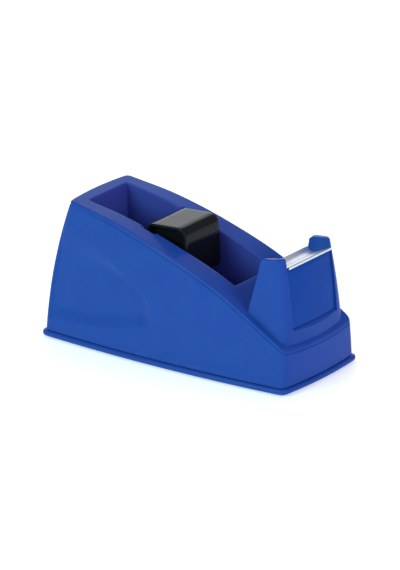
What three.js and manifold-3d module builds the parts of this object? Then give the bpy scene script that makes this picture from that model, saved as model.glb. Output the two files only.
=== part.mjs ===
// Small desktop tape dispenser: a weighted blue housing with an open tape well, a black hub on an axle that
// lies in two slanted slots, and a steel cutter blade held between the two cheeks of a tower at the front.
//
// Millimetres, +Z up. +X points to the cutter end, Y is across, and the object is symmetric about Y = 0.
// The origin is on the table under the middle of the base.

import * as THREE from 'three';
import { mergeVertices } from 'three/addons/utils/BufferGeometryUtils.js';
import Module from 'manifold-3d';

const wasm = await Module();
wasm.setup();

// ---------------------------------------------------------------------------------------------------------
// Driving dimensions
// ---------------------------------------------------------------------------------------------------------

const GAP = 0.3; // clearance between neighbouring pieces
const WALL = 2.0; // moulded wall thickness
const OVER = 1.0; // how far a cutting solid runs past the face it cuts
const MERGE_DISTANCE = 1e-4;
const MIN_CORNER_RADIUS = 1.5; // of an inset dome

// Base plate and its flange
const BASE_HALF_LENGTH = 59.2;
const BACK_EXTRA = 1.0; // the rear half is this much longer than the front half
const BASE_HALF_WIDTH = 26.0; // at the corners, the long sides bow out from here
const SIDE_BOW = 2.5;
const END_BOW = 1.3;
const BASE_CORNER_RADIUS = 3.4;
const FOOT_PROUD = 0.6; // underside of the base plate above the table
const FLANGE_HEIGHT = 2.3;
const FLANGE_PROUD = 1.3; // how far the flange stands out past the shell
const FLANGE_EDGE_RADIUS = 0.7;
const LIP_HEIGHT = 2.4;
const LIP_THICKNESS = 1.4;

// Shell: lean of its faces at height h above its lower edge is LINEAR * h + SQUARE * h * h
const BACK_LEAN = { linear: 0.015, square: 0.0028 };
const FRONT_LEAN = { linear: 0.0, square: 0.0014 };
const SIDE_LEAN = { linear: 0.08, square: 0.0002 };
const SHELL_HEIGHT = 60.0; // of the uncut dome, the rim profile trims it
const DOME_STEPS = 6;
const CURVE_SEGMENTS = 7;

// Rim profile seen from the side: gently curved, flatter at the back and steeper towards the cutter
const RIM_PROFILE = [
  [-66, 60.6],
  [-44.5, 57.2],
  [-24.7, 53.6],
  [-0.3, 46.5],
  [26.2, 36.2],
  [57.2, 18.3],
  [70, 10.0],
];
const RIM_SEGMENTS = 30;

// Tape well
const WELL_BACK = -45.0;
const WELL_FRONT = 26.2;
const WELL_HALF_WIDTH = 12.8;
const WELL_FLOOR = 12.6;
const WELL_FLOOR_RADIUS = 12.0;

// Hub and axle
const AXLE_X = -7.8;
const AXLE_Z = 42.4;
const AXLE_RADIUS = 1.95;
const AXLE_BORE_RADIUS = 2.05;
const SLOT_WIDTH = 4.2;
const SLOT_DEPTH = 1.6; // into each well wall
const SLOT_LENGTH = 24.0; // runs out through the rim
const SLOT_LEAN = 0.7; // radians back from vertical
const HUB_LENGTH = 19.2;
const HUB_HEIGHT = 22.2;
const HUB_HALF_WIDTH = 11.4;
const HUB_CORNER_RADIUS = 4.0;
const HUB_WALL = 1.5;
const HUB_TILT = -0.06; // resting angle about Y, front edge up
const HUB_WEB_RECESS = 0.9;
const HUB_BEARING_RADIUS = 3.6;

// Cutter tower
const TOWER_LEDGE_FRONT = 1.5; // ledge left on the shell in front of the tower
const TOWER_LEDGE_SIDE = 2.6;
const TOWER_BACK_FOOT = [36.4, 24.0];
const TOWER_BACK_WAIST = [40.4, 38.4];
const TOWER_BACK_TOP = [42.4, 52.2];
const TOWER_FRONT_TOP = [54.5, 53.9];
const TOWER_CROWN_RADIUS = 1.6;
const TOWER_FRONT_MARGIN = 8.0; // the profile runs past the front face, which the dome then trims
const POCKET_HALF_WIDTH = 14.15; // between the cheeks
const POCKET_BACK = [41.0, 24.6]; // foot of the pocket's back wall, and its top edge
const POCKET_BACK_TOP = [43.8, 43.2];
const SHELF_TOP = POCKET_BACK[1];
const SHELF_THICKNESS = 2.0;

// Blade and its carrier
const BLADE_HALF_WIDTH = 13.7;
const BLADE_THICKNESS = 0.5;
const BLADE_PATH = [
  [41.6, 47.8],
  [43.2, 46.5],
  [45.4, 46.2],
  [48.4, 47.4],
  [53.1, 49.6],
];
const TOOTH_COUNT = 34;
const TOOTH_DEPTH = 0.8;
const BLADE_STEPS = 12; // along the bend
const PANEL_THICKNESS = 1.8;
const PANEL_RECESS = 0.3; // behind the tower's front face
const PANEL_TOP = 49.0;
const CARRIER_POST_X = 48.0;
const CARRIER_POST_Y = 8.0;
const CARRIER_POST_RADIUS = 2.6;

// Screws and their posts
const POST_X = 47.0;
const POST_Y = 19.0;
const POST_RADIUS = 3.0;
const POST_HEIGHT = 13.0;
const RIB = 1.6; // rib that ties each post to the side wall
const PILOT_RADIUS = 1.4;
const SHANK_RADIUS = 1.1;
const HEAD_RADIUS = 2.3;
const HEAD_HEIGHT = 1.5;
const HEAD_RECESS_RADIUS = 2.7;
const BASE_PAD_RADIUS = 3.6;
const BASE_PAD_HEIGHT = 1.5;
const SCREW_HOLE_RADIUS = 1.5;

// Feet and ballast
const FOOT_X = 38.0;
const FOOT_Y = 19.0;
const FOOT_RADIUS = 4.5;
const FOOT_THICKNESS = 1.5;
const BALLAST_LENGTH = 42.0;
const BALLAST_HALF_WIDTH = 20.5;
const BALLAST_HEIGHT = 6.4;
const BALLAST_CORNER_RADIUS = 3.0;
const BALLAST_SPACING = 2.0;
const BALLAST_BOSS_HEIGHT = 3.2;

const ROUND = 20; // segments round a small cylinder
const BASE_SCREW_LENGTH = 10.0;
const CARRIER_SCREW_LENGTH = 9.0;
const BALLAST_SCREW_LENGTH = 5.0;
const BASE_HEAD_FOOT = 1.0; // height of the base screws' heads above the table
const CROSS_WIDTH = 0.6;
const CROSS_SPAN = 0.55; // of the head's radius

// ---------------------------------------------------------------------------------------------------------
// Derived places
// ---------------------------------------------------------------------------------------------------------

const PLATE_TOP = FOOT_PROUD + FLANGE_HEIGHT;
const SHELL_BOTTOM = PLATE_TOP + GAP;
const SHELL_HALF_LENGTH = BASE_HALF_LENGTH - FLANGE_PROUD;
const SHELL_HALF_WIDTH = BASE_HALF_WIDTH - FLANGE_PROUD;
const SHELL_CORNER_RADIUS = BASE_CORNER_RADIUS - FLANGE_PROUD / 2;
const LIP_TOP = PLATE_TOP + LIP_HEIGHT;
const POST_FOOT = PLATE_TOP + BASE_PAD_HEIGHT + GAP; // just above the base plate's pads
const BALLAST_X = (BALLAST_LENGTH + BALLAST_SPACING) / 2;
const CORNERS = [
  ['front_left', 1, 1],
  ['front_right', 1, -1],
  ['rear_left', -1, 1],
  ['rear_right', -1, -1],
];

// ---------------------------------------------------------------------------------------------------------
// Solids
// ---------------------------------------------------------------------------------------------------------

/** A closed three.js geometry as a manifold solid. */
function solid(geometry) {
  const bare = geometry.clone();
  bare.deleteAttribute('normal');
  bare.deleteAttribute('uv');
  const merged = mergeVertices(bare, MERGE_DISTANCE);
  return new wasm.Manifold(
    new wasm.Mesh({
      numProp: 3,
      vertProperties: new Float32Array(merged.attributes.position.array),
      triVerts: new Uint32Array(merged.index.array),
    }),
  );
}

/** A manifold solid as a three.js geometry. */
function surface(body) {
  const mesh = body.getMesh();
  const geometry = new THREE.BufferGeometry();
  geometry.setAttribute('position', new THREE.BufferAttribute(new Float32Array(mesh.vertProperties), 3));
  geometry.setIndex(new THREE.BufferAttribute(new Uint32Array(mesh.triVerts), 1));
  geometry.computeVertexNormals();
  return geometry;
}

/** Box from its lowest and highest corners. */
function box(low, high) {
  const size = high.map((value, axis) => value - low[axis]);
  const geometry = new THREE.BoxGeometry(...size);
  geometry.translate(...low.map((value, axis) => value + size[axis] / 2));
  return solid(geometry);
}

/** Upright cylinder from z = low to z = high. */
function post(x, y, radius, low, high) {
  const geometry = new THREE.CylinderGeometry(radius, radius, high - low, ROUND);
  geometry.rotateX(Math.PI / 2);
  geometry.translate(x, y, (low + high) / 2);
  return solid(geometry);
}

/** Prism of a side profile: the shape's x and y become X and Z, and it spans Y from low to high. */
function sidePrism(shape, low, high, options = {}) {
  const settings = { depth: high - low, bevelEnabled: false, curveSegments: CURVE_SEGMENTS, ...options };
  const geometry = new THREE.ExtrudeGeometry(shape, settings);
  geometry.rotateX(Math.PI / 2);
  geometry.translate(0, high, 0);
  return solid(geometry);
}

/** Closed outline through a list of points. */
function outline(points) {
  return new THREE.Shape(points.map(([x, y]) => new THREE.Vector2(x, y)));
}

/** Rectangle with round corners, centred on the shape's origin. */
function roundedRectangle(halfX, halfY, radius) {
  const shape = new THREE.Shape();
  shape.moveTo(halfX, -halfY + radius);
  shape.lineTo(halfX, halfY - radius);
  shape.absarc(halfX - radius, halfY - radius, radius, 0, Math.PI / 2);
  shape.lineTo(-halfX + radius, halfY);
  shape.absarc(-halfX + radius, halfY - radius, radius, Math.PI / 2, Math.PI);
  shape.lineTo(-halfX, -halfY + radius);
  shape.absarc(-halfX + radius, -halfY + radius, radius, Math.PI, 1.5 * Math.PI);
  shape.lineTo(halfX - radius, -halfY);
  shape.absarc(halfX - radius, -halfY + radius, radius, 1.5 * Math.PI, 2 * Math.PI);
  return shape;
}

/** Plan of the base: a rectangle whose four sides bow outwards and whose corners are round. */
function bowedPlan(halfLength, halfWidth, radius) {
  const front = halfLength - radius;
  const rear = front + BACK_EXTRA;
  const back = halfLength + BACK_EXTRA;
  const across = halfWidth - radius;
  const middle = -BACK_EXTRA / 2;
  const shape = new THREE.Shape();
  shape.moveTo(front, halfWidth);
  shape.quadraticCurveTo(middle, halfWidth + 2 * SIDE_BOW, -rear, halfWidth);
  shape.quadraticCurveTo(-back, halfWidth, -back, across);
  shape.quadraticCurveTo(-back - 2 * END_BOW, 0, -back, -across);
  shape.quadraticCurveTo(-back, -halfWidth, -rear, -halfWidth);
  shape.quadraticCurveTo(middle, -halfWidth - 2 * SIDE_BOW, front, -halfWidth);
  shape.quadraticCurveTo(halfLength, -halfWidth, halfLength, -across);
  shape.quadraticCurveTo(halfLength + 2 * END_BOW, 0, halfLength, across);
  shape.quadraticCurveTo(halfLength, halfWidth, front, halfWidth);
  return shape;
}

/** Flat prism of a plan, from z = low to z = high. */
function planPrism(shape, low, high) {
  const geometry = new THREE.ExtrudeGeometry(shape, {
    depth: high - low,
    bevelEnabled: false,
    curveSegments: CURVE_SEGMENTS,
  });
  geometry.translate(0, 0, low);
  return solid(geometry);
}

/** The shell's dome, set in from its outer face: a bowed plan whose faces lean in as they rise. */
function dome(insetLength, insetWidth, low) {
  const halfLength = SHELL_HALF_LENGTH - insetLength;
  const halfWidth = SHELL_HALF_WIDTH - insetWidth;
  const radius = Math.max(SHELL_CORNER_RADIUS - Math.min(insetLength, insetWidth), MIN_CORNER_RADIUS);
  const geometry = new THREE.ExtrudeGeometry(bowedPlan(halfLength, halfWidth, radius), {
    depth: SHELL_HEIGHT,
    steps: DOME_STEPS,
    bevelEnabled: false,
    curveSegments: CURVE_SEGMENTS,
  });
  geometry.translate(0, 0, low);
  const places = geometry.attributes.position;
  for (let i = 0; i < places.count; i += 1) {
    const x = places.getX(i);
    const height = places.getZ(i) - SHELL_BOTTOM;
    const end = x > 0 ? FRONT_LEAN : BACK_LEAN;
    const reach = x > 0 ? halfLength : halfLength + BACK_EXTRA;
    places.setX(i, x * (1 - lean(end, height) / reach));
    places.setY(i, places.getY(i) * (1 - lean(SIDE_LEAN, height) / halfWidth));
  }
  return solid(geometry);
}

/** How far a face has moved inwards at a height above the shell's lower edge. */
function lean(face, height) {
  return face.linear * height + face.square * height * height;
}

/** Everything above the rim profile, lowered by a depth. */
function aboveRim(depth) {
  const curve = new THREE.SplineCurve(RIM_PROFILE.map(([x, z]) => new THREE.Vector2(x, z - depth)));
  const points = curve.getPoints(RIM_SEGMENTS).map((point) => [point.x, point.y]);
  const top = SHELL_BOTTOM + SHELL_HEIGHT + OVER;
  const back = RIM_PROFILE[0][0];
  const front = RIM_PROFILE[RIM_PROFILE.length - 1][0];
  return sidePrism(outline([...points, [front, top], [back, top]]), -BASE_HALF_LENGTH, BASE_HALF_LENGTH);
}

/** Parallel-sided slot with a round end at the axle, leaning back on its way up to the rim. */
function slotBar(width, halfSpan) {
  const radius = width / 2;
  const shape = new THREE.Shape();
  shape.moveTo(radius, SLOT_LENGTH);
  shape.lineTo(-radius, SLOT_LENGTH);
  shape.lineTo(-radius, 0);
  shape.absarc(0, 0, radius, Math.PI, 2 * Math.PI);
  shape.lineTo(radius, SLOT_LENGTH);
  return sidePrism(shape, -halfSpan, halfSpan)
    .rotate([0, (-SLOT_LEAN * 180) / Math.PI, 0])
    .translate([AXLE_X, 0, AXLE_Z]);
}

/** Side profile of the tape well, grown outwards by a margin. */
function wellProfile(margin) {
  const back = WELL_BACK - margin;
  const front = WELL_FRONT + margin;
  const floor = WELL_FLOOR - margin;
  const radius = WELL_FLOOR_RADIUS + margin;
  const top = SHELL_HEIGHT + PLATE_TOP;
  const shape = new THREE.Shape();
  shape.moveTo(front, top);
  shape.lineTo(back, top);
  shape.lineTo(back, floor + radius);
  shape.absarc(back + radius, floor + radius, radius, Math.PI, 1.5 * Math.PI);
  shape.lineTo(front - radius, floor);
  shape.absarc(front - radius, floor + radius, radius, 1.5 * Math.PI, 2 * Math.PI);
  shape.lineTo(front, top);
  return shape;
}

/** Side profile of the tower: concave back, short sloping crown, and open to the front. */
function towerProfile(margin) {
  const shape = new THREE.Shape();
  const front = BASE_HALF_LENGTH + TOWER_FRONT_MARGIN;
  shape.moveTo(TOWER_BACK_FOOT[0] + margin, PLATE_TOP + 2 * WALL);
  shape.lineTo(TOWER_BACK_FOOT[0] + margin, TOWER_BACK_FOOT[1]);
  shape.quadraticCurveTo(
    TOWER_BACK_WAIST[0] + margin,
    TOWER_BACK_WAIST[1],
    TOWER_BACK_TOP[0] + margin,
    TOWER_BACK_TOP[1] - TOWER_CROWN_RADIUS - margin,
  );
  shape.quadraticCurveTo(
    TOWER_BACK_TOP[0] + margin,
    TOWER_BACK_TOP[1] - margin,
    TOWER_BACK_TOP[0] + TOWER_CROWN_RADIUS + margin,
    TOWER_BACK_TOP[1] - margin,
  );
  shape.lineTo(TOWER_FRONT_TOP[0], TOWER_FRONT_TOP[1] - margin);
  shape.lineTo(front, TOWER_FRONT_TOP[1] - margin);
  shape.lineTo(front, PLATE_TOP + 2 * WALL);
  return shape;
}

/** x of the tower's front face on the centre line at height z. */
function towerFront(z) {
  return SHELL_HALF_LENGTH - TOWER_LEDGE_FRONT - lean(FRONT_LEAN, z - SHELL_BOTTOM);
}

/** Points along the blade's bend, moved square to it by an offset (positive is up). */
function bladePoints(offset) {
  const curve = new THREE.SplineCurve(BLADE_PATH.map(([x, z]) => new THREE.Vector2(x, z)));
  return Array.from({ length: BLADE_STEPS + 1 }, (_, i) => {
    const point = curve.getPoint(i / BLADE_STEPS);
    const along = curve.getTangent(i / BLADE_STEPS);
    return [point.x - along.y * offset, point.y + along.x * offset];
  });
}

// ---------------------------------------------------------------------------------------------------------
// Pieces
// ---------------------------------------------------------------------------------------------------------

/** Tower block trimmed by a dome, before its pocket is cut. */
function towerBlock(inset) {
  const form = dome(TOWER_LEDGE_FRONT + inset, TOWER_LEDGE_SIDE + inset, SHELL_BOTTOM);
  return form.intersect(sidePrism(towerProfile(inset), -BASE_HALF_WIDTH, BASE_HALF_WIDTH));
}

/** Pocket between the cheeks, grown by a margin: open at the top, at the front and over the back wall. */
function towerPocket(margin) {
  const front = BASE_HALF_LENGTH + TOWER_FRONT_MARGIN;
  const top = TOWER_FRONT_TOP[1] + OVER;
  const half = POCKET_HALF_WIDTH + margin;
  const behind = TOWER_BACK_FOOT[0] - 2 * OVER;
  const profile = outline([
    [POCKET_BACK[0] - margin, SHELF_TOP - margin],
    [front, SHELF_TOP - margin],
    [front, top],
    [behind, top],
    [behind, POCKET_BACK_TOP[1] - margin],
    [POCKET_BACK_TOP[0] - margin, POCKET_BACK_TOP[1] - margin],
  ]);
  return sidePrism(profile, -half, half);
}

function bodyShell() {
  const low = SHELL_BOTTOM;
  const skin = dome(0, 0, low).subtract(aboveRim(0)).add(towerBlock(0));
  const hollow = dome(WALL, WALL, low - OVER).subtract(aboveRim(WALL)).add(towerBlock(WALL));
  const half = WELL_HALF_WIDTH + WALL;
  let kept = sidePrism(wellProfile(WALL), -half, half)
    .add(slotBar(SLOT_WIDTH + 2 * WALL, WELL_HALF_WIDTH + SLOT_DEPTH + WALL))
    .add(towerPocket(WALL));
  for (const [, sideX, sideY] of CORNERS) {
    const x = sideX * POST_X;
    const ends = [sideY * (POST_Y + PILOT_RADIUS), sideY * BASE_HALF_WIDTH].sort((a, b) => a - b);
    const rib = box([x - RIB / 2, ends[0], LIP_TOP + GAP], [x + RIB / 2, ends[1], low + POST_HEIGHT]);
    kept = kept.add(post(x, sideY * POST_Y, POST_RADIUS, POST_FOOT, low + POST_HEIGHT)).add(rib);
  }
  let shell = skin
    .subtract(hollow.subtract(kept))
    .subtract(sidePrism(wellProfile(0), -WELL_HALF_WIDTH, WELL_HALF_WIDTH))
    .subtract(slotBar(SLOT_WIDTH, WELL_HALF_WIDTH + SLOT_DEPTH))
    .subtract(towerPocket(0));
  for (const [, sideX, sideY] of CORNERS) {
    const pilotTop = low + POST_HEIGHT - WALL;
    shell = shell.subtract(post(sideX * POST_X, sideY * POST_Y, PILOT_RADIUS, POST_FOOT - OVER, pilotTop));
  }
  for (const side of [1, -1]) {
    const shelfFoot = SHELF_TOP - SHELF_THICKNESS - OVER;
    const hole = post(CARRIER_POST_X, side * CARRIER_POST_Y, SCREW_HOLE_RADIUS, shelfFoot, SHELF_TOP + OVER);
    shell = shell.subtract(hole);
  }
  return shell;
}

function basePlate() {
  const flange = new THREE.ExtrudeGeometry(bowedPlan(BASE_HALF_LENGTH, BASE_HALF_WIDTH, BASE_CORNER_RADIUS), {
    depth: FLANGE_HEIGHT - 2 * FLANGE_EDGE_RADIUS,
    bevelThickness: FLANGE_EDGE_RADIUS,
    bevelSize: FLANGE_EDGE_RADIUS,
    bevelOffset: -FLANGE_EDGE_RADIUS,
    bevelSegments: 3,
    curveSegments: CURVE_SEGMENTS,
  });
  flange.translate(0, 0, FOOT_PROUD + FLANGE_EDGE_RADIUS);
  const inset = WALL + 2 * GAP;
  let plate = solid(flange)
    .add(planPrism(shellPlan(inset), PLATE_TOP - OVER, LIP_TOP))
    .subtract(planPrism(shellPlan(inset + LIP_THICKNESS), PLATE_TOP, LIP_TOP + OVER));
  for (const [, sideX, sideY] of CORNERS) {
    const x = sideX * POST_X;
    const y = sideY * POST_Y;
    plate = plate
      .subtract(post(x, y, BASE_PAD_RADIUS + GAP, PLATE_TOP, LIP_TOP + OVER))
      .add(post(x, y, BASE_PAD_RADIUS, PLATE_TOP - OVER, PLATE_TOP + BASE_PAD_HEIGHT))
      .subtract(post(x, y, SCREW_HOLE_RADIUS, 0, LIP_TOP + OVER))
      .subtract(post(x, y, HEAD_RECESS_RADIUS, 0, BASE_HEAD_FOOT + HEAD_HEIGHT + GAP))
      .subtract(post(sideX * FOOT_X, sideY * FOOT_Y, FOOT_RADIUS + GAP, 0, FOOT_THICKNESS + GAP));
  }
  for (const side of [1, -1]) {
    const x = side * BALLAST_X;
    const top = PLATE_TOP + BALLAST_BOSS_HEIGHT;
    plate = plate
      .add(post(x, 0, POST_RADIUS, PLATE_TOP - OVER, top))
      .subtract(post(x, 0, PILOT_RADIUS, PLATE_TOP - OVER, top + OVER));
  }
  return plate;
}

/** Plan of the shell at its lower edge, set in by a margin. */
function shellPlan(inset) {
  return bowedPlan(SHELL_HALF_LENGTH - inset, SHELL_HALF_WIDTH - inset, SHELL_CORNER_RADIUS - inset / 2);
}

/** Steel block with a relief under it for the base plate's boss and a recess on top for the screw head. */
function ballast() {
  const plan = roundedRectangle(BALLAST_LENGTH / 2, BALLAST_HALF_WIDTH, BALLAST_CORNER_RADIUS);
  const low = PLATE_TOP + GAP;
  const top = low + BALLAST_HEIGHT;
  return planPrism(plan, low, top)
    .subtract(post(0, 0, POST_RADIUS + GAP, low - OVER, PLATE_TOP + BALLAST_BOSS_HEIGHT + GAP))
    .subtract(post(0, 0, SCREW_HOLE_RADIUS, low - OVER, top + OVER))
    .subtract(post(0, 0, HEAD_RECESS_RADIUS, top - HEAD_HEIGHT - 2 * GAP, top + OVER));
}

/** Rubber foot with a softened lower edge. */
function foot() {
  const edge = GAP;
  return latheUp([
    [0, 0],
    [FOOT_RADIUS - edge, 0],
    [FOOT_RADIUS, edge],
    [FOOT_RADIUS, FOOT_THICKNESS],
    [0, FOOT_THICKNESS],
  ]);
}

/** Solid of revolution about Z from a profile of [radius, z]. */
function latheUp(profile) {
  const points = profile.map(([radius, z]) => new THREE.Vector2(radius, z));
  const geometry = new THREE.LatheGeometry(points, ROUND);
  geometry.rotateX(Math.PI / 2);
  geometry.scale(1, -1, 1);
  return turnedOut(geometry);
}

/** Solid of a geometry that a mirror has turned inside out: each triangle's order is reversed. */
function turnedOut(geometry) {
  const index = geometry.index;
  for (let i = 0; i < index.count; i += 3) {
    const first = index.getX(i);
    index.setX(i, index.getX(i + 1));
    index.setX(i + 1, first);
  }
  return solid(geometry);
}

/** Pan-head screw with a cross recess: head at z = 0 upwards, shank above it. */
function screw(shankLength) {
  const edge = HEAD_HEIGHT / 3;
  const tip = HEAD_HEIGHT + shankLength;
  const body = latheUp([
    [0, 0],
    [HEAD_RADIUS - edge, 0],
    [HEAD_RADIUS, edge],
    [HEAD_RADIUS, HEAD_HEIGHT],
    [SHANK_RADIUS, HEAD_HEIGHT],
    [SHANK_RADIUS, tip - SHANK_RADIUS],
    [0, tip],
  ]);
  const half = CROSS_WIDTH / 2;
  const arm = HEAD_RADIUS * CROSS_SPAN;
  const depth = HEAD_HEIGHT / 2;
  return body
    .subtract(box([-arm, -half, -OVER], [arm, half, depth]))
    .subtract(box([-half, -arm, -OVER], [half, arm, depth]));
}

/** Insert between the cheeks: recessed front panel, blade seat, and two screw posts behind the panel. */
function cutterCarrier() {
  const half = POCKET_HALF_WIDTH - GAP;
  const low = SHELF_TOP + GAP;
  const seat = bladePoints(-(BLADE_THICKNESS / 2 + GAP))
    .filter(([x]) => x < towerFront(PANEL_TOP) - PANEL_RECESS - GAP)
    .reverse();
  const rear = seat[seat.length - 1][0];
  const under = POCKET_BACK_TOP[1] + GAP;
  const panel = (z) => towerFront(z) - PANEL_RECESS;
  const middle = (low + PANEL_TOP) / 2;
  const body = sidePrism(
    outline([
      [panel(low), low],
      [panel(middle), middle],
      [panel(seat[0][1]), seat[0][1]],
      ...seat,
      [rear + GAP, under],
      [panel(under) - PANEL_THICKNESS, under],
      [panel(middle) - PANEL_THICKNESS, middle],
      [panel(low) - PANEL_THICKNESS, low],
    ]),
    -half,
    half,
  );
  return [1, -1].reduce((piece, side) => {
    const y = side * CARRIER_POST_Y;
    return piece
      .add(post(CARRIER_POST_X, y, CARRIER_POST_RADIUS, low, under + OVER))
      .subtract(post(CARRIER_POST_X, y, PILOT_RADIUS, low - OVER, low + CARRIER_SCREW_LENGTH));
  }, body);
}

/** Bent steel strip whose front edge is cut into fine teeth. */
function cutterBlade() {
  const upper = bladePoints(BLADE_THICKNESS / 2);
  const lower = bladePoints(-BLADE_THICKNESS / 2).reverse();
  const strip = sidePrism(outline([...upper, ...lower]), -BLADE_HALF_WIDTH, BLADE_HALF_WIDTH);
  const tip = BLADE_PATH[BLADE_PATH.length - 1][0] + BLADE_THICKNESS;
  const pitch = (2 * BLADE_HALF_WIDTH) / TOOTH_COUNT;
  const teeth = Array.from({ length: TOOTH_COUNT }, (_, i) => {
    const start = -BLADE_HALF_WIDTH + i * pitch;
    return [
      [tip - TOOTH_DEPTH, start],
      [tip, start + pitch / 2],
    ];
  }).flat();
  const plan = outline([
    [BLADE_PATH[0][0] - OVER, BLADE_HALF_WIDTH + OVER],
    [BLADE_PATH[0][0] - OVER, -BLADE_HALF_WIDTH - OVER],
    [tip - TOOTH_DEPTH, -BLADE_HALF_WIDTH - OVER],
    ...teeth,
    [tip - TOOTH_DEPTH, BLADE_HALF_WIDTH],
    [tip - TOOTH_DEPTH, BLADE_HALF_WIDTH + OVER],
  ]);
  return strip.intersect(planPrism(plan, PLATE_TOP, SHELL_HEIGHT));
}

/** Hub half on the +Y side of the middle: a square tube with a recessed web and a bearing for the axle. */
function hubHalf() {
  const start = GAP / 2;
  const webOuter = HUB_HALF_WIDTH - HUB_WEB_RECESS;
  const round = (inset) =>
    roundedRectangle(HUB_LENGTH / 2 - inset, HUB_HEIGHT / 2 - inset, HUB_CORNER_RADIUS - inset);
  const shell = sidePrism(round(0), start, HUB_HALF_WIDTH).subtract(
    sidePrism(round(HUB_WALL), start - OVER, HUB_HALF_WIDTH + OVER),
  );
  const web = sidePrism(round(HUB_WALL / 2), webOuter - HUB_WALL, webOuter);
  const bearing = new THREE.Shape().absarc(0, 0, HUB_BEARING_RADIUS, 0, 2 * Math.PI);
  const bore = new THREE.Shape().absarc(0, 0, AXLE_BORE_RADIUS, 0, 2 * Math.PI);
  return shell
    .add(web)
    .add(sidePrism(bearing, start, HUB_HALF_WIDTH, { curveSegments: ROUND }))
    .subtract(sidePrism(bore, start - OVER, HUB_HALF_WIDTH + OVER, { curveSegments: ROUND }));
}

/** Axle pin across the well, with chamfered ends that lie in the slots. */
function hubAxle() {
  const half = WELL_HALF_WIDTH + SLOT_DEPTH - GAP;
  const pin = latheUp([
    [0, -half],
    [AXLE_RADIUS - GAP, -half],
    [AXLE_RADIUS, -half + GAP],
    [AXLE_RADIUS, half - GAP],
    [AXLE_RADIUS - GAP, half],
    [0, half],
  ]);
  return pin.rotate([90, 0, 0]);
}

// ---------------------------------------------------------------------------------------------------------
// Materials and assembly
// ---------------------------------------------------------------------------------------------------------

const FINISHES = {
  housing: { color: 0x2455a8, roughness: 0.25, metalness: 0.0 },
  carrier: { color: 0x1e48a0, roughness: 0.3, metalness: 0.0 },
  hub: { color: 0x0b0d12, roughness: 0.15, metalness: 0.0 },
  blade: { color: 0xc8d4da, roughness: 0.3, metalness: 1.0 },
  ballast: { color: 0x5f6264, roughness: 0.6, metalness: 1.0 },
  screw: { color: 0x9a9ea2, roughness: 0.35, metalness: 1.0 },
  rubber: { color: 0x1b1b1d, roughness: 0.85, metalness: 0.0 },
};

/** Adds one named piece to a group. */
function addPiece(parent, name, body, finish, place = [0, 0, 0]) {
  const mesh = new THREE.Mesh(surface(body), new THREE.MeshStandardMaterial(FINISHES[finish]));
  mesh.name = name;
  mesh.position.set(...place);
  parent.add(mesh);
  return mesh;
}

const dispenser = new THREE.Group();

addPiece(dispenser, 'body_shell', bodyShell(), 'housing');
addPiece(dispenser, 'base_plate', basePlate(), 'housing');
addPiece(dispenser, 'cutter_carrier', cutterCarrier(), 'carrier');
addPiece(dispenser, 'cutter_blade', cutterBlade(), 'blade');

for (const [end, side] of [
  ['front', 1],
  ['rear', -1],
]) {
  const x = side * BALLAST_X;
  addPiece(dispenser, `ballast_${end}`, ballast(), 'ballast', [x, 0, 0]);
  const upsideDown = screw(BALLAST_SCREW_LENGTH).rotate([180, 0, 0]);
  const headTop = PLATE_TOP + BALLAST_HEIGHT;
  addPiece(dispenser, `ballast_screw_${end}`, upsideDown, 'screw', [x, 0, headTop]);
}

for (const [corner, sideX, sideY] of CORNERS) {
  const screwPlace = [sideX * POST_X, sideY * POST_Y, BASE_HEAD_FOOT];
  addPiece(dispenser, `base_screw_${corner}`, screw(BASE_SCREW_LENGTH), 'screw', screwPlace);
  addPiece(dispenser, `foot_${corner}`, foot(), 'rubber', [sideX * FOOT_X, sideY * FOOT_Y, 0]);
}

for (const [name, side] of [
  ['left', 1],
  ['right', -1],
]) {
  const headFoot = SHELF_TOP - SHELF_THICKNESS - GAP - HEAD_HEIGHT;
  const place = [CARRIER_POST_X, side * CARRIER_POST_Y, headFoot];
  addPiece(dispenser, `carrier_screw_${name}`, screw(CARRIER_SCREW_LENGTH), 'screw', place);
}

const hub = new THREE.Group();
hub.position.set(AXLE_X, 0, AXLE_Z);
hub.rotation.y = HUB_TILT;
addPiece(hub, 'hub_half_left', hubHalf(), 'hub');
addPiece(hub, 'hub_half_right', hubHalf().rotate([0, 0, 180]), 'hub');
dispenser.add(hub);
addPiece(dispenser, 'hub_axle', hubAxle(), 'hub', [AXLE_X, 0, AXLE_Z]);

export default dispenser;
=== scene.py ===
"""Looks of a small desktop tape dispenser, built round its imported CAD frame.

Class fields are in millimetres and meshes in metres. +X points to the cutter end, +Z is up, and the dispenser
is the same on both sides of Y = 0.
"""

import logging
import math
from dataclasses import dataclass, field
from enum import Enum
from typing import Any, Sequence

import bmesh
import bpy
import numpy as np
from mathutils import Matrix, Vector


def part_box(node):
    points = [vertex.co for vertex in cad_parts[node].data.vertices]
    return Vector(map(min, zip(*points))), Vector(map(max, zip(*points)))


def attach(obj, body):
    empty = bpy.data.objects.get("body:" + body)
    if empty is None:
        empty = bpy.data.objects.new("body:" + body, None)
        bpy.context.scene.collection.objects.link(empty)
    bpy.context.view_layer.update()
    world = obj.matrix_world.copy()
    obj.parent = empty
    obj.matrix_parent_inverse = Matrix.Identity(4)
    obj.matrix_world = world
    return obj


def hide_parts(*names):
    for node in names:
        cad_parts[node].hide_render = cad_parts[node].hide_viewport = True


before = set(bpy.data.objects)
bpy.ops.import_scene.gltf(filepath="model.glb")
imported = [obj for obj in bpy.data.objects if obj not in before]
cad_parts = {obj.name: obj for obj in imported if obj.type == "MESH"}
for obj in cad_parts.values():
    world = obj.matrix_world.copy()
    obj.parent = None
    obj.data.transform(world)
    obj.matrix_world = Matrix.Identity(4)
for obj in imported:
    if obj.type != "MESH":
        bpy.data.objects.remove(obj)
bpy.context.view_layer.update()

MM = 0.001
LOG = logging.getLogger("dispenser")
Array = np.ndarray


# ----------------------------------------------------------------------------
# Curves and outlines
# ----------------------------------------------------------------------------


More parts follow.
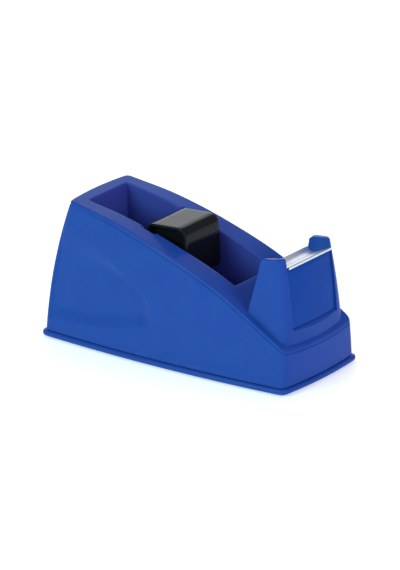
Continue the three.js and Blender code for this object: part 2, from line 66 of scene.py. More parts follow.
def box_mm(node: str) -> tuple[Array, Array]:
    """Lowest and highest corners of a CAD node at rest, in millimetres.

    Args:
        node: Name of the CAD node.

    Returns:
        The two corners, each an array of x, y and z.
    """
    low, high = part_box(node)
    return np.array(low) / MM, np.array(high) / MM


def mix(start: Any, end: Any, share: Any) -> Any:
    """Straight blend from start to end by a share from 0 to 1."""
    return start + (end - start) * share


def smooth(value: Array) -> Array:
    """S-shaped step: 0 below 0, 1 above 1, and 3t^2 - 2t^3 between them."""
    t = np.clip(value, 0.0, 1.0)
    return t * t * (3.0 - 2.0 * t)


def bend(start: Array, corner: Array, end: Array, count: int) -> list[Array]:
    """Quadratic curve (1-t)^2 start + 2t(1-t) corner + t^2 end, which rounds a corner off.

    Args:
        start: Point, or array of points, where the rounding starts.
        corner: The sharp corner.
        end: Where the rounding ends.
        count: Number of points, both ends included.

    Returns:
        The points in order.
    """
    return [(1 - t) ** 2 * start + 2 * t * (1 - t) * corner + t * t * end for t in np.linspace(0, 1, count)]


def rounded_outline(
    corners: Sequence[Sequence[float]], radii: Sequence[float], steps: Sequence[int]
) -> Array:
    """Closed outline with each corner rounded off and each straight stretch divided evenly.

    A corner's curve starts and ends one radius away from it and bends towards it.

    Args:
        corners: The sharp corners, in order.
        radii: How much each corner is rounded, 0 for a sharp one.
        steps: Number of extra points on the stretch that follows each corner.

    Returns:
        An array of points, n by 2.
    """
    points = np.array(corners, float)
    before = np.roll(points, 1, axis=0) - points
    after = np.roll(points, -1, axis=0) - points
    before /= np.linalg.norm(before, axis=1, keepdims=True)
    after /= np.linalg.norm(after, axis=1, keepdims=True)
    reach = np.array(radii, float)[:, None]
    starts = points + before * reach
    ends = points + after * reach
    made: list[Array] = []
    for i, (radius, extra) in enumerate(zip(radii, steps)):
        made += bend(starts[i], points[i], ends[i], 8) if radius > 0 else [points[i]]
        following = starts[(i + 1) % len(points)]
        made += [mix(ends[i], following, (k + 1) / (extra + 1)) for k in range(extra)]
    return np.array(made)


def inward(outline: Array) -> Array:
    """Unit vectors that point into a counter-clockwise closed outline at its points."""
    step = np.roll(outline, -1, axis=0) - np.roll(outline, 1, axis=0)
    step /= np.linalg.norm(step, axis=1, keepdims=True)
    return np.stack([-step[:, 1], step[:, 0]], axis=1)


def spline(points: Sequence[Sequence[float]], count: int) -> Array:
    """Smooth curve through a few points: cubic pieces, each with the slope of the chord past its ends.

    Args:
        points: The points that it passes through.
        count: Number of points on each piece.

    Returns:
        An array of points along the curve.
    """
    p = np.array(points, float)
    padded = np.vstack([p[:1], p, p[-1:]])
    t = np.linspace(0, 1, count, endpoint=False)[:, None]
    pieces = []
    for a, b, c, d in zip(padded, padded[1:], padded[2:], padded[3:]):
        cubic = 2 * b + (c - a) * t + (2 * a - 5 * b + 4 * c - d) * t**2 + (3 * b - a - 3 * c + d) * t**3
        pieces.append(cubic / 2)
    return np.vstack([*pieces, p[-1:]])


# ----------------------------------------------------------------------------
# Meshes
# ----------------------------------------------------------------------------


class Surface:
    """Vertices and faces gathered from lofts, then made into one closed mesh object."""

    def __init__(self) -> None:
        """Starts empty."""
        self.points: list[Array] = []
        self.faces: list[Any] = []
        self.count = 0
        self.last: list[int] = []

    def loft(self, rings: Sequence[Array], closed: bool = False, caps: bool = False) -> "Surface":
        """Adds a skin through closed rings that all have the same number of points.

        Args:
            rings: The rings, each n by 3, in millimetres.
            closed: Whether the last ring joins the first.
            caps: Whether the first and last rings are filled with a flat face.

        Returns:
            This surface.
        """
        stack = np.array(rings, float)
        rows, columns = stack.shape[:2]
        index = self.count + np.arange(rows * columns).reshape(rows, columns)
        here = index if closed else index[:-1]
        there = np.roll(index, -1, axis=0) if closed else index[1:]
        quads = np.stack([here, np.roll(here, -1, axis=1), np.roll(there, -1, axis=1), there], axis=-1)
        self.faces += quads.reshape(-1, 4).tolist()
        if caps:
            self.faces += [index[0][::-1].tolist(), index[-1].tolist()]
        self.last = index[-1].tolist()
        self.points.append(stack.reshape(-1, 3))
        self.count += rows * columns
        return self

    def lid(self) -> "Surface":
        """Fills the last ring with a flat face."""
        self.faces.append(self.last)
        return self

    def build(self, name: str, sharp_degrees: float = 40.0) -> bpy.types.Object:
        """Makes the object: doubles merged, faces pointing outwards, smooth up to an edge angle.

        Args:
            name: Name of the piece.
            sharp_degrees: Edges that turn more than this are shaded sharp.

        Returns:
            The new object, at the origin.
        """
        mesh = bpy.data.meshes.new(name)
        mesh.from_pydata((np.vstack(self.points) * MM).tolist(), [], self.faces)
        work = bmesh.new()
        work.from_mesh(mesh)
        bmesh.ops.remove_doubles(work, verts=work.verts, dist=2e-6)
        bmesh.ops.dissolve_degenerate(work, edges=work.edges, dist=1e-7)
        bmesh.ops.recalc_face_normals(work, faces=work.faces)
        work.to_mesh(mesh)
        work.free()
        piece = bpy.data.objects.new(name, mesh)
        bpy.context.scene.collection.objects.link(piece)
        shade(piece, sharp_degrees)
        return piece


def shade(piece: bpy.types.Object, sharp_degrees: float) -> None:
    """Shades a piece smooth, with sharp edges where it turns more than an angle."""
    piece.data.shade_smooth()
    piece.data.set_sharp_from_angle(angle=math.radians(sharp_degrees))


class Cut(Enum):
    """What a boolean does with its second solid."""

    JOIN = "UNION"
    REMOVE = "DIFFERENCE"


def combine(
    target: bpy.types.Object, others: Sequence[bpy.types.Object], cut: Cut, sharp: float = 40.0
) -> None:
    """Joins other solids to a solid or cuts them out of it, and deletes them.

    Args:
        target: The solid that stays.
        others: The solids that are used up.
        cut: Join or remove.
        sharp: Edge angle in degrees past which the result is shaded sharp.
    """
    for other in others:
        step = target.modifiers.new(cut.name.lower(), "BOOLEAN")
        step.operation = cut.value
        step.solver = "MANIFOLD"
        step.object = other
    bpy.context.view_layer.update()
    graph = bpy.context.evaluated_depsgraph_get()
    result = bpy.data.meshes.new_from_object(target.evaluated_get(graph))
    target.modifiers.clear()
    before = target.data
    target.data = result
    result.name = target.name
    bpy.data.meshes.remove(before)
    for other in others:
        bpy.data.objects.remove(other)
    shade(target, sharp)


def side_ring(outline: Array, y: Any) -> Array:
    """Points of a side outline (x, z) placed at a distance y across."""
    across = np.broadcast_to(np.asarray(y, float), (len(outline),))
    return np.stack([outline[:, 0], across, outline[:, 1]], axis=1)


def turned(
    profile: Sequence[Sequence[float]], centre: Sequence[float], axis: str, count: int = 64
) -> list[Array]:
    """Rings of a solid of revolution.

    Args:
        profile: Radius and place along the axis for each ring.
        centre: A point on the axis.
        axis: "y" or "z".
        count: Points round each ring.

    Returns:
        The rings, in the profile's order.
    """
    angle = np.linspace(0, 2 * math.pi, count, endpoint=False)
    rings = []
    for radius, along in profile:
        a, b = radius * np.cos(angle), radius * np.sin(angle)
        flat = np.full(count, float(along))
        ring = np.stack([a, flat, b] if axis == "y" else [a, b, flat], axis=1)
        rings.append(ring + np.array(centre, float))
    return rings


# ----------------------------------------------------------------------------
# Shader nodes
# ----------------------------------------------------------------------------


class Value:
    """A shader socket that arithmetic works on: each operator adds a Math node."""

    def __init__(self, nodes: "Nodes", socket: bpy.types.NodeSocket) -> None:
        """Wraps a socket of a node tree."""
        self.nodes = nodes
        self.socket = socket

    def _math(self, operation: str, first: Any, second: Any) -> "Value":
        """A Math node of two inputs, each a value or a number."""
        return self.nodes.node("ShaderNodeMath", {"operation": operation}, {0: first, 1: second})[0]

    def __add__(self, other: Any) -> "Value":
        """self + other."""
        return self._math("ADD", self, other)

    __radd__ = __add__

    def __mul__(self, other: Any) -> "Value":
        """self * other."""
        return self._math("MULTIPLY", self, other)

    __rmul__ = __mul__

    def __sub__(self, other: Any) -> "Value":
        """self - other."""
        return self._math("SUBTRACT", self, other)

    def __rsub__(self, other: Any) -> "Value":
        """other - self."""
        return self._math("SUBTRACT", other, self)

    def within(self, low: float, high: float) -> "Value":
        """Stretches the range from low to high over 0 to 1, clamped, with soft ends."""
        settings = {"interpolation_type": "SMOOTHSTEP"}
        return self.nodes.node("ShaderNodeMapRange", settings, {"Value": self, 1: low, 2: high})["Result"]


class Outputs:
    """The outputs of a node, by name or number, as values."""

    def __init__(self, nodes: "Nodes", node: bpy.types.Node) -> None:
        """Wraps a node of a tree."""
        self.nodes = nodes
        self.node = node

    def __getitem__(self, key: Any) -> Value:
        """The output of that name or number."""
        return Value(self.nodes, self.node.outputs[key])


class Nodes:
    """A node tree, emptied, and the one method that adds nodes to it."""

    def __init__(self, tree: bpy.types.NodeTree) -> None:
        """Empties the tree."""
        self.tree = tree
        tree.nodes.clear()

    def node(
        self, kind: str, settings: dict[str, Any] | None = None, inputs: dict[Any, Any] | None = None
    ) -> Outputs:
        """Adds a node.

        Args:
            kind: Its Blender type.
            settings: Its properties, set before its sockets.
            inputs: Values or links of its input sockets, by name or number.

        Returns:
            Its outputs.
        """
        made = self.tree.nodes.new(kind)
        for key, value in (settings or {}).items():
            if key == "stops":
                self.set_ramp(made.color_ramp, value)
            else:
                setattr(made, key, value)
        for key, value in (inputs or {}).items():
            self.feed(made.inputs[key], value)
        return Outputs(self, made)

    def feed(self, socket: bpy.types.NodeSocket, value: Any) -> None:
        """Links a value to a socket, or sets the socket's own number or colour.

        Args:
            socket: The input socket.
            value: A value to link, or a number, vector or colour to set.
        """
        if isinstance(value, Value):
            self.tree.links.new(value.socket, socket)
        elif isinstance(value, tuple) and len(value) == 3 and socket.type == "RGBA":
            socket.default_value = (*value, 1.0)
        else:
            socket.default_value = value

    @staticmethod
    def set_ramp(ramp: bpy.types.ColorRamp, stops: Sequence[tuple[float, Any]]) -> None:
        """Gives a colour ramp its stops.

        Args:
            ramp: The ramp.
            stops: Place and colour of each stop.
        """
        while len(ramp.elements) < len(stops):
            ramp.elements.new(0.5)
        for element, (place, colour) in zip(ramp.elements, stops):
            element.position = place
            element.color = (*colour, 1.0)


class Paint(Nodes):
    """A material under construction, with Object coordinates, in metres, at hand."""

    def __init__(self, name: str) -> None:
        """Starts an empty material."""
        self.material = bpy.data.materials.new(name)
        self.material.use_nodes = True
        super().__init__(self.material.node_tree)
        self.place = self.node("ShaderNodeTexCoord")["Object"]
        self.shader = self.node("ShaderNodeBsdfPrincipled")
        self.node("ShaderNodeOutputMaterial", {}, {"Surface": self.shader["BSDF"]})

    def surface(self, **sockets: Any) -> None:
        """Sets or links the main shader's sockets, named with underscores for spaces."""
        for key, value in sockets.items():
            self.feed(self.shader.node.inputs[key.replace("_", " ")], value)

    def noise(self, size: float, detail: float = 3.0, rough: float = 0.5, stretch: Any = (1, 1, 1)) -> Value:
        """Noise from about 0.2 to 0.8.

        Args:
            size: Rough size of its features in millimetres.
            detail: Number of finer layers.
            rough: How strong the finer layers are.
            stretch: How many times longer the features are along each axis.

        Returns:
            The noise.
        """
        scale = tuple(1.0 / (size * MM * s) for s in stretch)
        where = self.node("ShaderNodeMapping", {}, {"Vector": self.place, "Scale": scale})["Vector"]
        inputs = {"Vector": where, "Scale": 1.0, "Detail": detail, "Roughness": rough}
        return self.node("ShaderNodeTexNoise", {}, inputs)[0]

    def hairlines(self, length: float, turn: float) -> Value:
        """Hair-thin straight marks in scattered groups, 1 on a mark and 0 between them.

        Args:
            length: Rough length of a mark in millimetres.
            turn: Angle of the marks about each axis, in radians.

        Returns:
            The mask.
        """
        inputs = {"Vector": self.place, "Rotation": (turn, turn * 0.4, turn * 0.7)}
        turned_place = self.node("ShaderNodeMapping", {}, inputs)["Vector"]
        scale = (1 / (0.12 * MM), 1 / (length * MM), 1 / (0.12 * MM))
        where = self.node("ShaderNodeMapping", {}, {"Vector": turned_place, "Scale": scale})["Vector"]
        thread = self.node("ShaderNodeTexNoise", {}, {"Vector": where, "Scale": 1.0, "Detail": 1.0})[0]
        return thread.within(0.7, 0.78) * self.noise(length, 2.0).within(0.52, 0.66)

    def blend(self, first: Any, second: Any, share: Any) -> Value:
        """Colour blend from first to second."""
        settings = {"data_type": "RGBA", "clamp_factor": True}
        return self.node("ShaderNodeMix", settings, {0: share, 6: first, 7: second})[2]

    def bump(self, height: Value, depth: float) -> Value:
        """Normal from a height of 0 to 1 that stands for a depth in millimetres."""
        inputs = {"Height": height, "Distance": depth * MM, "Strength": 1.0}
        return self.node("ShaderNodeBump", {}, inputs)["Normal"]

    def within_well(self, middle: float, half_length: float, half_width: float, floor: float) -> Value:
        """Mask of an upright box, 1 inside it: squares of the distances from its middle, in millimetres.

        Args:
            middle: x of its middle.
            half_length: Half its length.
            half_width: Half its width, about y = 0.
            floor: Height of its bottom.

        Returns:
            The mask.
        """
        place = self.node("ShaderNodeSeparateXYZ", {}, {0: self.place})
        along, across = place["X"] * (1 / MM) - middle, place["Y"] * (1 / MM)
        outside_length = (along * along).within(half_length**2, (half_length + 0.1) ** 2)
        outside_width = (across * across).within(half_width**2, (half_width + 0.1) ** 2)
        above = (place["Z"] * (1 / MM)).within(floor - 0.4, floor - 0.1)
        return (1 - outside_length) * (1 - outside_width) * above

    def wear(self, low: float = 0.52, high: float = 0.62) -> Value:
        """Mask of the outer edges, 1 where the surface is sharply rounded outwards."""
        return self.node("ShaderNodeNewGeometry")["Pointiness"].within(low, high)


# ----------------------------------------------------------------------------
# Finishes
# ----------------------------------------------------------------------------


@dataclass(frozen=True)
class MouldedPlastic:
    """Injection-moulded plastic: mottling, orange-peel grain, hairline scratches, paler worn edges.

    The painted well light, where there is one, is painted light: a more violet colour on the surfaces inside
    a box, the well, standing for how the well is lit.
    """

    colour: tuple[float, float, float]
    deep: tuple[float, float, float]
    worn: tuple[float, float, float]
    gloss: float = 0.2
    mottle: float = 9.0
    peel: float = 0.9
    peel_depth: float = 0.006
    scratch_length: float = 9.0
    shine: float = 0.16
    painted_well_light: tuple[float, float, float] | None = None
    well_light_box: tuple[float, float, float, float] = (-9.4, 35.7, 12.95, 12.6)

    def material(self, name: str) -> bpy.types.Material:
        """Builds the material: roughness is the gloss plus smears and hairlines, colour fades along edges."""
        paint = Paint(name)
        clouds = paint.noise(self.mottle, 4.0).within(0.3, 0.7)
        smears = paint.noise(22.0, 5.0, 0.6, (1.0, 2.5, 1.0)).within(0.42, 0.75)
        marks = paint.hairlines(self.scratch_length, 0.5) + paint.hairlines(self.scratch_length, 2.2)
        fine = paint.noise(0.12, 2.0)
        edge = paint.wear() * paint.noise(2.5, 4.0).within(0.35, 0.65)
        tint = paint.blend(self.colour, self.deep, clouds * 0.5)
        # Painted light: inside the well box the colour turns more violet and a little paler, standing for the
        # light inside the well.
        if self.painted_well_light:
            tint = paint.blend(tint, self.painted_well_light, paint.within_well(*self.well_light_box))
        colour = paint.blend(tint, self.worn, edge * 0.3 + marks * 0.04)
        height = paint.noise(self.peel, 2.0) + marks * -0.25 + fine * 0.12
        paint.surface(
            Base_Color=colour,
            Roughness=self.gloss + smears * 0.07 + marks * 0.12 + edge * 0.12 + fine * 0.03,
            Normal=paint.bump(height, self.peel_depth),
            Specular_IOR_Level=self.shine,
            IOR=1.5,
        )
        return paint.material


@dataclass(frozen=True)
class RolledSteel:
    """Bare metal: rolling lines along one axis, cloudy tone, scratches, a duller film in patches, and where
    asked a painted shade band.
    """

    colour: tuple[float, float, float]
    dull: tuple[float, float, float]
    roughness: float = 0.28
    line: float = 0.16
    grain: tuple[float, float, float] = (1.0, 60.0, 1.0)
    bump_depth: float = 0.008
    painted_groove_shade: tuple[float, float] | None = None

    def material(self, name: str) -> bpy.types.Material:
        """Builds the material: fine streaks drive roughness and bump, clouds blend the two tones, and an
        optional band paints shade.
        """
        paint = Paint(name)
        streaks = paint.noise(self.line, 3.0, 0.6, self.grain)
        clouds = paint.noise(4.0, 4.0).within(0.35, 0.7)
        marks = paint.hairlines(4.0, 1.1)
        tone = paint.blend(self.colour, self.dull, clouds * 0.4 + streaks * 0.3)
        groove_shade: Any = 0.0
        # Painted shade: a dark, matt, less metallic band at one x stands for the shadow in the groove behind
        # the teeth; the groove itself is modelled, its dark line is painted.
        if self.painted_groove_shade:
            middle, half = self.painted_groove_shade
            along = paint.node("ShaderNodeSeparateXYZ", {}, {0: paint.place})["X"] * (1 / MM) - middle
            groove_shade = (1 - (along * along).within((half * 0.6) ** 2, half**2)) * 0.95
            tone = paint.blend(tone, (0.02, 0.02, 0.02), groove_shade)
        paint.surface(
            Base_Color=tone,
            Metallic=1.0 - clouds * 0.06 - groove_shade * 0.8,
            Roughness=self.roughness + streaks * 0.16 + clouds * 0.08 - marks * 0.1 + groove_shade * 0.3,
            Normal=paint.bump(streaks + marks * 0.6, self.bump_depth),
        )
        return paint.material


@dataclass(frozen=True)
class CastIron:
    """Rough cast block: coarse pitted skin with a thin brown bloom."""

    colour: tuple[float, float, float] = (0.12, 0.12, 0.125)
    bloom: tuple[float, float, float] = (0.16, 0.1, 0.07)
    pit: float = 0.7
    depth: float = 0.12

    def material(self, name: str) -> bpy.types.Material:
        """Builds the material: pits drive the bump, patches of bloom turn it brown and less metallic."""
        paint = Paint(name)
        patches = paint.noise(7.0, 5.0, 0.65).within(0.52, 0.68)
        pits = paint.noise(self.pit, 4.0, 0.6)
        paint.surface(
            Base_Color=paint.blend(self.colour, self.bloom, patches * 0.7),
            Metallic=0.9 - patches * 0.6,
            Roughness=0.5 + pits * 0.2 + patches * 0.15,
            Normal=paint.bump(pits, self.depth),
        )
        return paint.material


@dataclass(frozen=True)
class SoftRubber:
    """Matt black rubber: fine pebble and a pale bloom of dust on the outer rims."""

    colour: tuple[float, float, float] = (0.012, 0.012, 0.013)
    dust: tuple[float, float, float] = (0.07, 0.068, 0.064)

    def material(self, name: str) -> bpy.types.Material:
        """Builds the material: pebble bump, dust where the surface turns and in soft clouds."""
        paint = Paint(name)
        pebble = paint.noise(0.25, 3.0, 0.6)
        dust = paint.noise(3.0, 5.0).within(0.45, 0.75) * 0.5 + paint.wear() * 0.3
        paint.surface(
            Base_Color=paint.blend(self.colour, self.dust, dust),
            Roughness=0.7 + pebble * 0.2,
            Normal=paint.bump(pebble, 0.03),
        )
        return paint.material


class Finish(Enum):
    """The dispenser's finishes, each with the record's material slot as its name."""

    # The housing's painted_well_light colour is painted light inside the well.
    HOUSING_BLUE = MouldedPlastic(
        (0.017, 0.062, 0.32), (0.014, 0.052, 0.3), (0.035, 0.11, 0.42),
        shine=0.06, painted_well_light=(0.052, 0.062, 0.35),
    )
    CARRIER_BLUE = MouldedPlastic(
        (0.004, 0.05, 0.3), (0.003, 0.044, 0.28), (0.02, 0.09, 0.36), gloss=0.3, shine=0.05,
    )
    HUB_BLACK = MouldedPlastic(
        (0.007, 0.007, 0.009), (0.005, 0.005, 0.007), (0.03, 0.032, 0.04), 0.05,
        peel_depth=0.002, shine=0.11,
    )
    # The blade's painted_groove_shade band at x = 53.05 mm is painted shade for the groove behind the teeth.
    BLADE_STEEL = RolledSteel((0.78, 0.82, 0.86), (0.68, 0.72, 0.76), 0.32, painted_groove_shade=(53.05, 0.6))
    BALLAST_STEEL = CastIron()
    SCREW_STEEL = RolledSteel((0.55, 0.56, 0.57), (0.42, 0.43, 0.43), 0.3, 0.3, (1.0, 1.0, 6.0))
    FOOT_RUBBER = SoftRubber()

    @property
    def slot(self) -> str:
        """The record's name for this finish."""
        return self.name.lower()


class Shop:
    """Makes each material once and hands finished pieces to their bodies."""

    def __init__(self) -> None:
        """Builds every finish's material."""
        self.materials = {finish: finish.value.material(finish.slot) for finish in Finish}

    def fit(self, piece: bpy.types.Object, finish: Finish, body: str, *nodes: str) -> None:
        """Dresses a piece, lets it ride on a body and stand for CAD nodes.

        Args:
            piece: The finished piece.
            finish: Its finish.
            body: The body that carries it.
            nodes: The CAD nodes that it replaces.
        """
        piece.data.materials.clear()
        piece.data.materials.append(self.materials[finish])
        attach(piece, body)
        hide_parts(*nodes)
        LOG.info("%s: %d faces on %s, for %s", piece.name, len(piece.data.polygons), body, ", ".join(nodes))

    def dress(self, node: str, finish: Finish) -> None:
        """Gives a CAD node that stays its detailed material."""
        piece = bpy.data.objects[node]
        for place in piece.material_slots:
            place.material = self.materials[finish]
        LOG.info("%s: CAD node in %s", node, finish.slot)


# ----------------------------------------------------------------------------
# Housing
# ----------------------------------------------------------------------------


@dataclass
class Dome:
    """Leaning block on a rectangular plan whose four sides bow outwards."""

    half_length: float
    half_width: float
    radius: float
    foot: float
    back_extra: float = 1.0
    side_bow: float = 2.5
    end_bow: float = 1.3
    back_lean: tuple[float, float] = (0.015, 0.0028)
    front_lean: tuple[float, float] = (0.0, 0.0014)
    side_lean: tuple[float, float] = (0.08, 0.0002)

    @property
    def along(self) -> float:
        """Half length of the long sides in front, without the corner."""
        return self.half_length - self.radius

    @property
    def across(self) -> float:
        """Half length of the short sides without the corners."""
        return self.half_width - self.radius

    def plan(self, side: Array, end: Array, turn: int) -> Array:
        """Counter-clockwise plan at the foot, from the front right corner round.

        Sides and ends are parabolas y = w + b(1 - (x/a)^2); a corner bends from one to the next about the
        point where their tangents meet, so the outline has no kinks. The rear half is then stretched.

        Args:
            side: Places of a long side's points from 0 to 1, growing.
            end: The same for a short side.
            turn: Number of points on a corner, without its ends.

        Returns:
            Points n by 2, the same number in each quarter.
        """
        side_slope = 2 * self.side_bow / self.along
        end_slope = 2 * self.end_bow / self.across
        reach = self.radius * (1 - end_slope) / (1 - side_slope * end_slope)
        tip = np.array([self.along + reach, self.half_width - side_slope * reach])
        y = mix(-self.across, self.across, end)
        front = np.stack([self.half_length + self.end_bow * (1 - (y / self.across) ** 2), y], axis=1)
        x = mix(self.along, -self.along, side)
        left = np.stack([x, self.half_width + self.side_bow * (1 - (x / self.along) ** 2)], axis=1)
        start = np.array([self.half_length, self.across])
        stop = np.array([self.along, self.half_width])
        corner = np.array(bend(start, tip, stop, turn + 2)[1:-1])
        other = corner[::-1] * (-1, 1)
        half = np.vstack([front, corner, left, other])
        plan = np.vstack([half, -half])
        stretch = 1 + self.back_extra / self.half_length
        plan[:, 0] *= np.where(plan[:, 0] < 0, stretch, 1.0)
        return plan

    def lean(self, x: Array, y: Array, z: Array) -> tuple[Array, Array]:
        """Moves plan points inwards at a height h over the foot: x(1 - (ah + bh^2)/l), y in the same way.

        Args:
            x: Plan x.
            y: Plan y.
            z: Height.

        Returns:
            The new x and y.
        """
        h = z - self.foot
        front = self.front_lean[0] * h + self.front_lean[1] * h * h
        back = self.back_lean[0] * h + self.back_lean[1] * h * h
        side = self.side_lean[0] * h + self.side_lean[1] * h * h
        reach = np.where(x > 0, self.half_length, self.half_length + self.back_extra)
        return x * (1 - np.where(x > 0, front, back) / reach), y * (1 - side / self.half_width)

    def skin(self, plan: Array, z: Array) -> Array:
        """Points of the dome's face over plan points at heights z."""
        x, y = self.lean(plan[:, 0], plan[:, 1], z)
        return np.stack([x, y, z], axis=1)


@dataclass
class Housing:
    """The blue shell: leaning walls with a leaf-shaped inset, crowned rim, well, axle slots and tower."""

    rim_points: tuple[tuple[float, float], ...] = (
        (-66, 60.6), (-44.5, 57.2), (-24.7, 53.6), (-0.3, 46.5), (26.2, 36.2), (57.2, 18.3), (70, 10),
    )
    half_length: float = 57.9
    half_width: float = 24.7
    corner: float = 2.75
    tower_corner: float = 2.6
    wall: float = 2.0
    rim_edge: float = 0.9
    well_edge: float = 0.5
    well_back: float = -45.0
    well_front: float = 26.2
    well_half_width: float = 12.8
    well_floor: float = 12.6
    well_floor_radius: float = 12.0
    well_corner: float = 0.8
    slot_width: float = 4.2
    slot_depth: float = 1.6
    slot_length: float = 24.0
    slot_lean: float = 0.7
    leaf_depth: float = 1.6
    groove: float = 0.28
    groove_width: float = 0.5
    leaf_band: float = 1.5
    leaf_low: tuple[tuple[float, float], ...] = (
        (-62, 7.6), (-54.7, 8.2), (-26.6, 10.8), (-10.6, 15.0), (0, 18), (60, 18),
    )
    leaf_foot: tuple[tuple[float, float], ...] = (
        (-62, 12.5), (-55.3, 12.8), (-35.9, 13.6), (-13.5, 19.1), (60, 21),
    )
    leaf_crease: tuple[tuple[float, float], ...] = (
        (-62, 45.2), (-54.6, 44.4), (-48.6, 43.6), (-40.9, 41.0), (-33.3, 38.4), (-26.0, 35.2), (-18.8, 31.5),
        (-11.8, 27.2), (-7.8, 25.0), (60.0, 25.0),
    )
    leaf_fade: tuple[tuple[float, float], ...] = ((-58.7, -57.0), (-12.0, -4.0))
    leaf_limits: tuple[float, ...] = (0.35, 0.5, 0.62, 0.8)
    ledge_front: float = 1.5
    ledge_side: float = 2.6
    tower_lean: tuple[float, float] = (0.0, 0.0017)
    tower_radius: float = 4.2
    back_radius: float = 1.9
    tower_foot: tuple[float, float, float] = (36.0, 28.5, 0.62)
    tower_back: tuple[tuple[float, float], ...] = ((36.4, 24.0), (40.4, 38.4), (42.4, 50.6))
    crown: tuple[tuple[float, float], ...] = ((42.4, 52.2), (54.5, 53.9))
    crown_edge: float = 1.2
    pocket_half_width: float = 14.9
    pocket_back: tuple[tuple[float, float], ...] = ((41.0, 24.6), (43.8, 43.2))
    pocket_front: float = 66.0
    pocket_rear: float = 30.0
    pocket_soft: float = 0.5
    pocket_levels: tuple[float, float, float] = (50.5, 50.8, 56.0)
    pocket_flare: float = 1.0
    crown_flare: float = 0.45
    sill: float = 1.1
    side_count: int = 110
    end_count: int = 38
    turn_count: int = 8
    shell: Dome = field(init=False)
    tower: Dome = field(init=False)
    axle: Array = field(init=False)
    rim_curve: Array = field(init=False)

    def __post_init__(self) -> None:
        """Takes the shell's foot and the axle's place from the CAD boxes, and draws the rim's curve."""
        low = box_mm("body_shell")[0]
        self.shell = Dome(self.half_length, self.half_width, self.corner, low[2])
        self.tower = Dome(
            self.half_length - self.ledge_front, self.half_width - self.ledge_side, self.tower_corner,
            low[2], 0.0, front_lean=self.tower_lean,
        )
        pin_low, pin_high = box_mm("hub_axle")
        self.axle = (pin_low + pin_high) / 2
        self.rim_curve = spline(self.rim_points, 40)

    def rim(self, x: Array) -> Array:
        """Height of the rim surface over x."""
        return np.interp(x, self.rim_curve[:, 0], self.rim_curve[:, 1])

    def spread(self, count: int, bunch: float) -> Array:
        """Places from 0 to 1, bunched towards both ends by a share of a cosine."""
        t = np.linspace(0, 1, count)
        return mix(t, (1 - np.cos(math.pi * t)) / 2, bunch)

    def leaf(self, x: Array, rows: Array) -> tuple[Array, Array]:
        """Heights and depths of the wall's rows: smooth foot, sloping facet, inset, upper band, the rest.

        The rows follow the two creases, so both stay crisp. The last ones make a thin groove under the rim.

        Args:
            x: Place of each column in the plan.
            rows: Height of the wall's top over each column.

        Returns:
            Heights, rows by columns, and how deep each point lies.
        """
        (back0, back1), (front0, front1) = self.leaf_fade
        fade = smooth((x - back0) / (back1 - back0)) * (1 - smooth((x - front0) / (front1 - front0)))
        crease = np.interp(x, *np.array(self.leaf_crease).T)
        marks = [
            np.full_like(x, self.shell.foot),
            np.interp(x, *np.array(self.leaf_low).T),
            np.interp(x, *np.array(self.leaf_foot).T),
            crease - self.leaf_band,
            crease + self.leaf_band,
            rows,
        ]
        for i, share in enumerate(self.leaf_limits, 1):
            marks[i] = np.minimum(marks[i], mix(self.shell.foot, rows, share))
        depths = [0, 0, 1, 1, 0, 0]
        counts = [6, 4, 14, 5, 16]
        heights, inset = [], []
        for i, count in enumerate(counts):
            for k in range(count):
                t = k / count
                heights.append(mix(marks[i], marks[i + 1], t))
                inset.append(np.full_like(x, mix(depths[i], depths[i + 1], t)))
        heights = [np.minimum(z, rows - 2.2 * self.groove_width) for z in heights]
        depths = np.array(inset) * fade * self.leaf_depth
        for step, depth in ((2.0, 0.0), (1.2, 1.0), (0.8, 1.0), (0.0, 0.0)):
            heights.append(rows - step * self.groove_width)
            depths = np.vstack([depths, np.full_like(x, depth * self.groove)])
        return np.array(heights), depths

    def wall_rings(self, inset: float, leafy: bool) -> tuple[list[Array], Array]:
        """Rings up the outer face of the wall, and its sharp top edge.

        Args:
            inset: How far the face is set in.
            leafy: Whether it carries the leaf.

        Returns:
            The rings, and the edge where the face would meet the rim surface.
        """
        dome = Dome(
            self.shell.half_length - inset, self.shell.half_width - inset,
            max(self.shell.radius - inset / 2, 1.5), self.shell.foot,
        )
        plan = dome.plan(self.spread(self.side_count, 0.4), self.spread(self.end_count, 0.2), self.turn_count)
        top = np.full(len(plan), 40.0)  # first guess, which the loop brings onto the rim
        for _ in range(12):
            top = self.rim(dome.skin(plan, top)[:, 0]) - inset
        edge = dome.skin(plan, top)
        start = top - (self.rim_edge if leafy else 0.5)
        normal = inward(plan)
        if leafy:
            heights, depths = self.leaf(plan[:, 0], start)
        else:
            heights = np.array([mix(dome.foot, start, t) for t in np.linspace(0, 1, 9)])
            depths = np.zeros_like(heights)
        rings = []
        for z, depth in zip(heights, depths):
            ring = dome.skin(plan, z)
            ring[:, :2] += normal * depth[:, None]
            rings.append(ring)
        return rings, edge

    def well_plan(self, grow: float) -> Array:
        """Plan of the well with the same number of points in each quarter as the wall."""
        side = self.spread(self.side_count, 0.4)
        end = self.spread(self.end_count, 0.2)
        back, front = self.well_back - grow, self.well_front + grow
        half, corner = self.well_half_width + grow, self.well_corner + grow / 2
        y = mix(-half + corner, half - corner, end)
        x = mix(front - corner, back + corner, side)
        tip = np.array([front, half])
        turn = bend(tip - (0, corner), tip, tip - (corner, 0), self.turn_count + 2)[1:-1]
        first = np.array(turn)
        second = np.array([(back + front - px, py) for px, py in turn[::-1]])
        left = np.stack([x, np.full_like(x, half)], axis=1)
        right = left[::-1] * (1, -1)
        return np.vstack([
            np.stack([np.full_like(y, front), y], axis=1), first, left, second,
            np.stack([np.full_like(y, back), -y], axis=1), (first * (-1, -1)) + (back + front, 0), right,
            (second * (-1, -1)) + (back + front, 0),
        ])

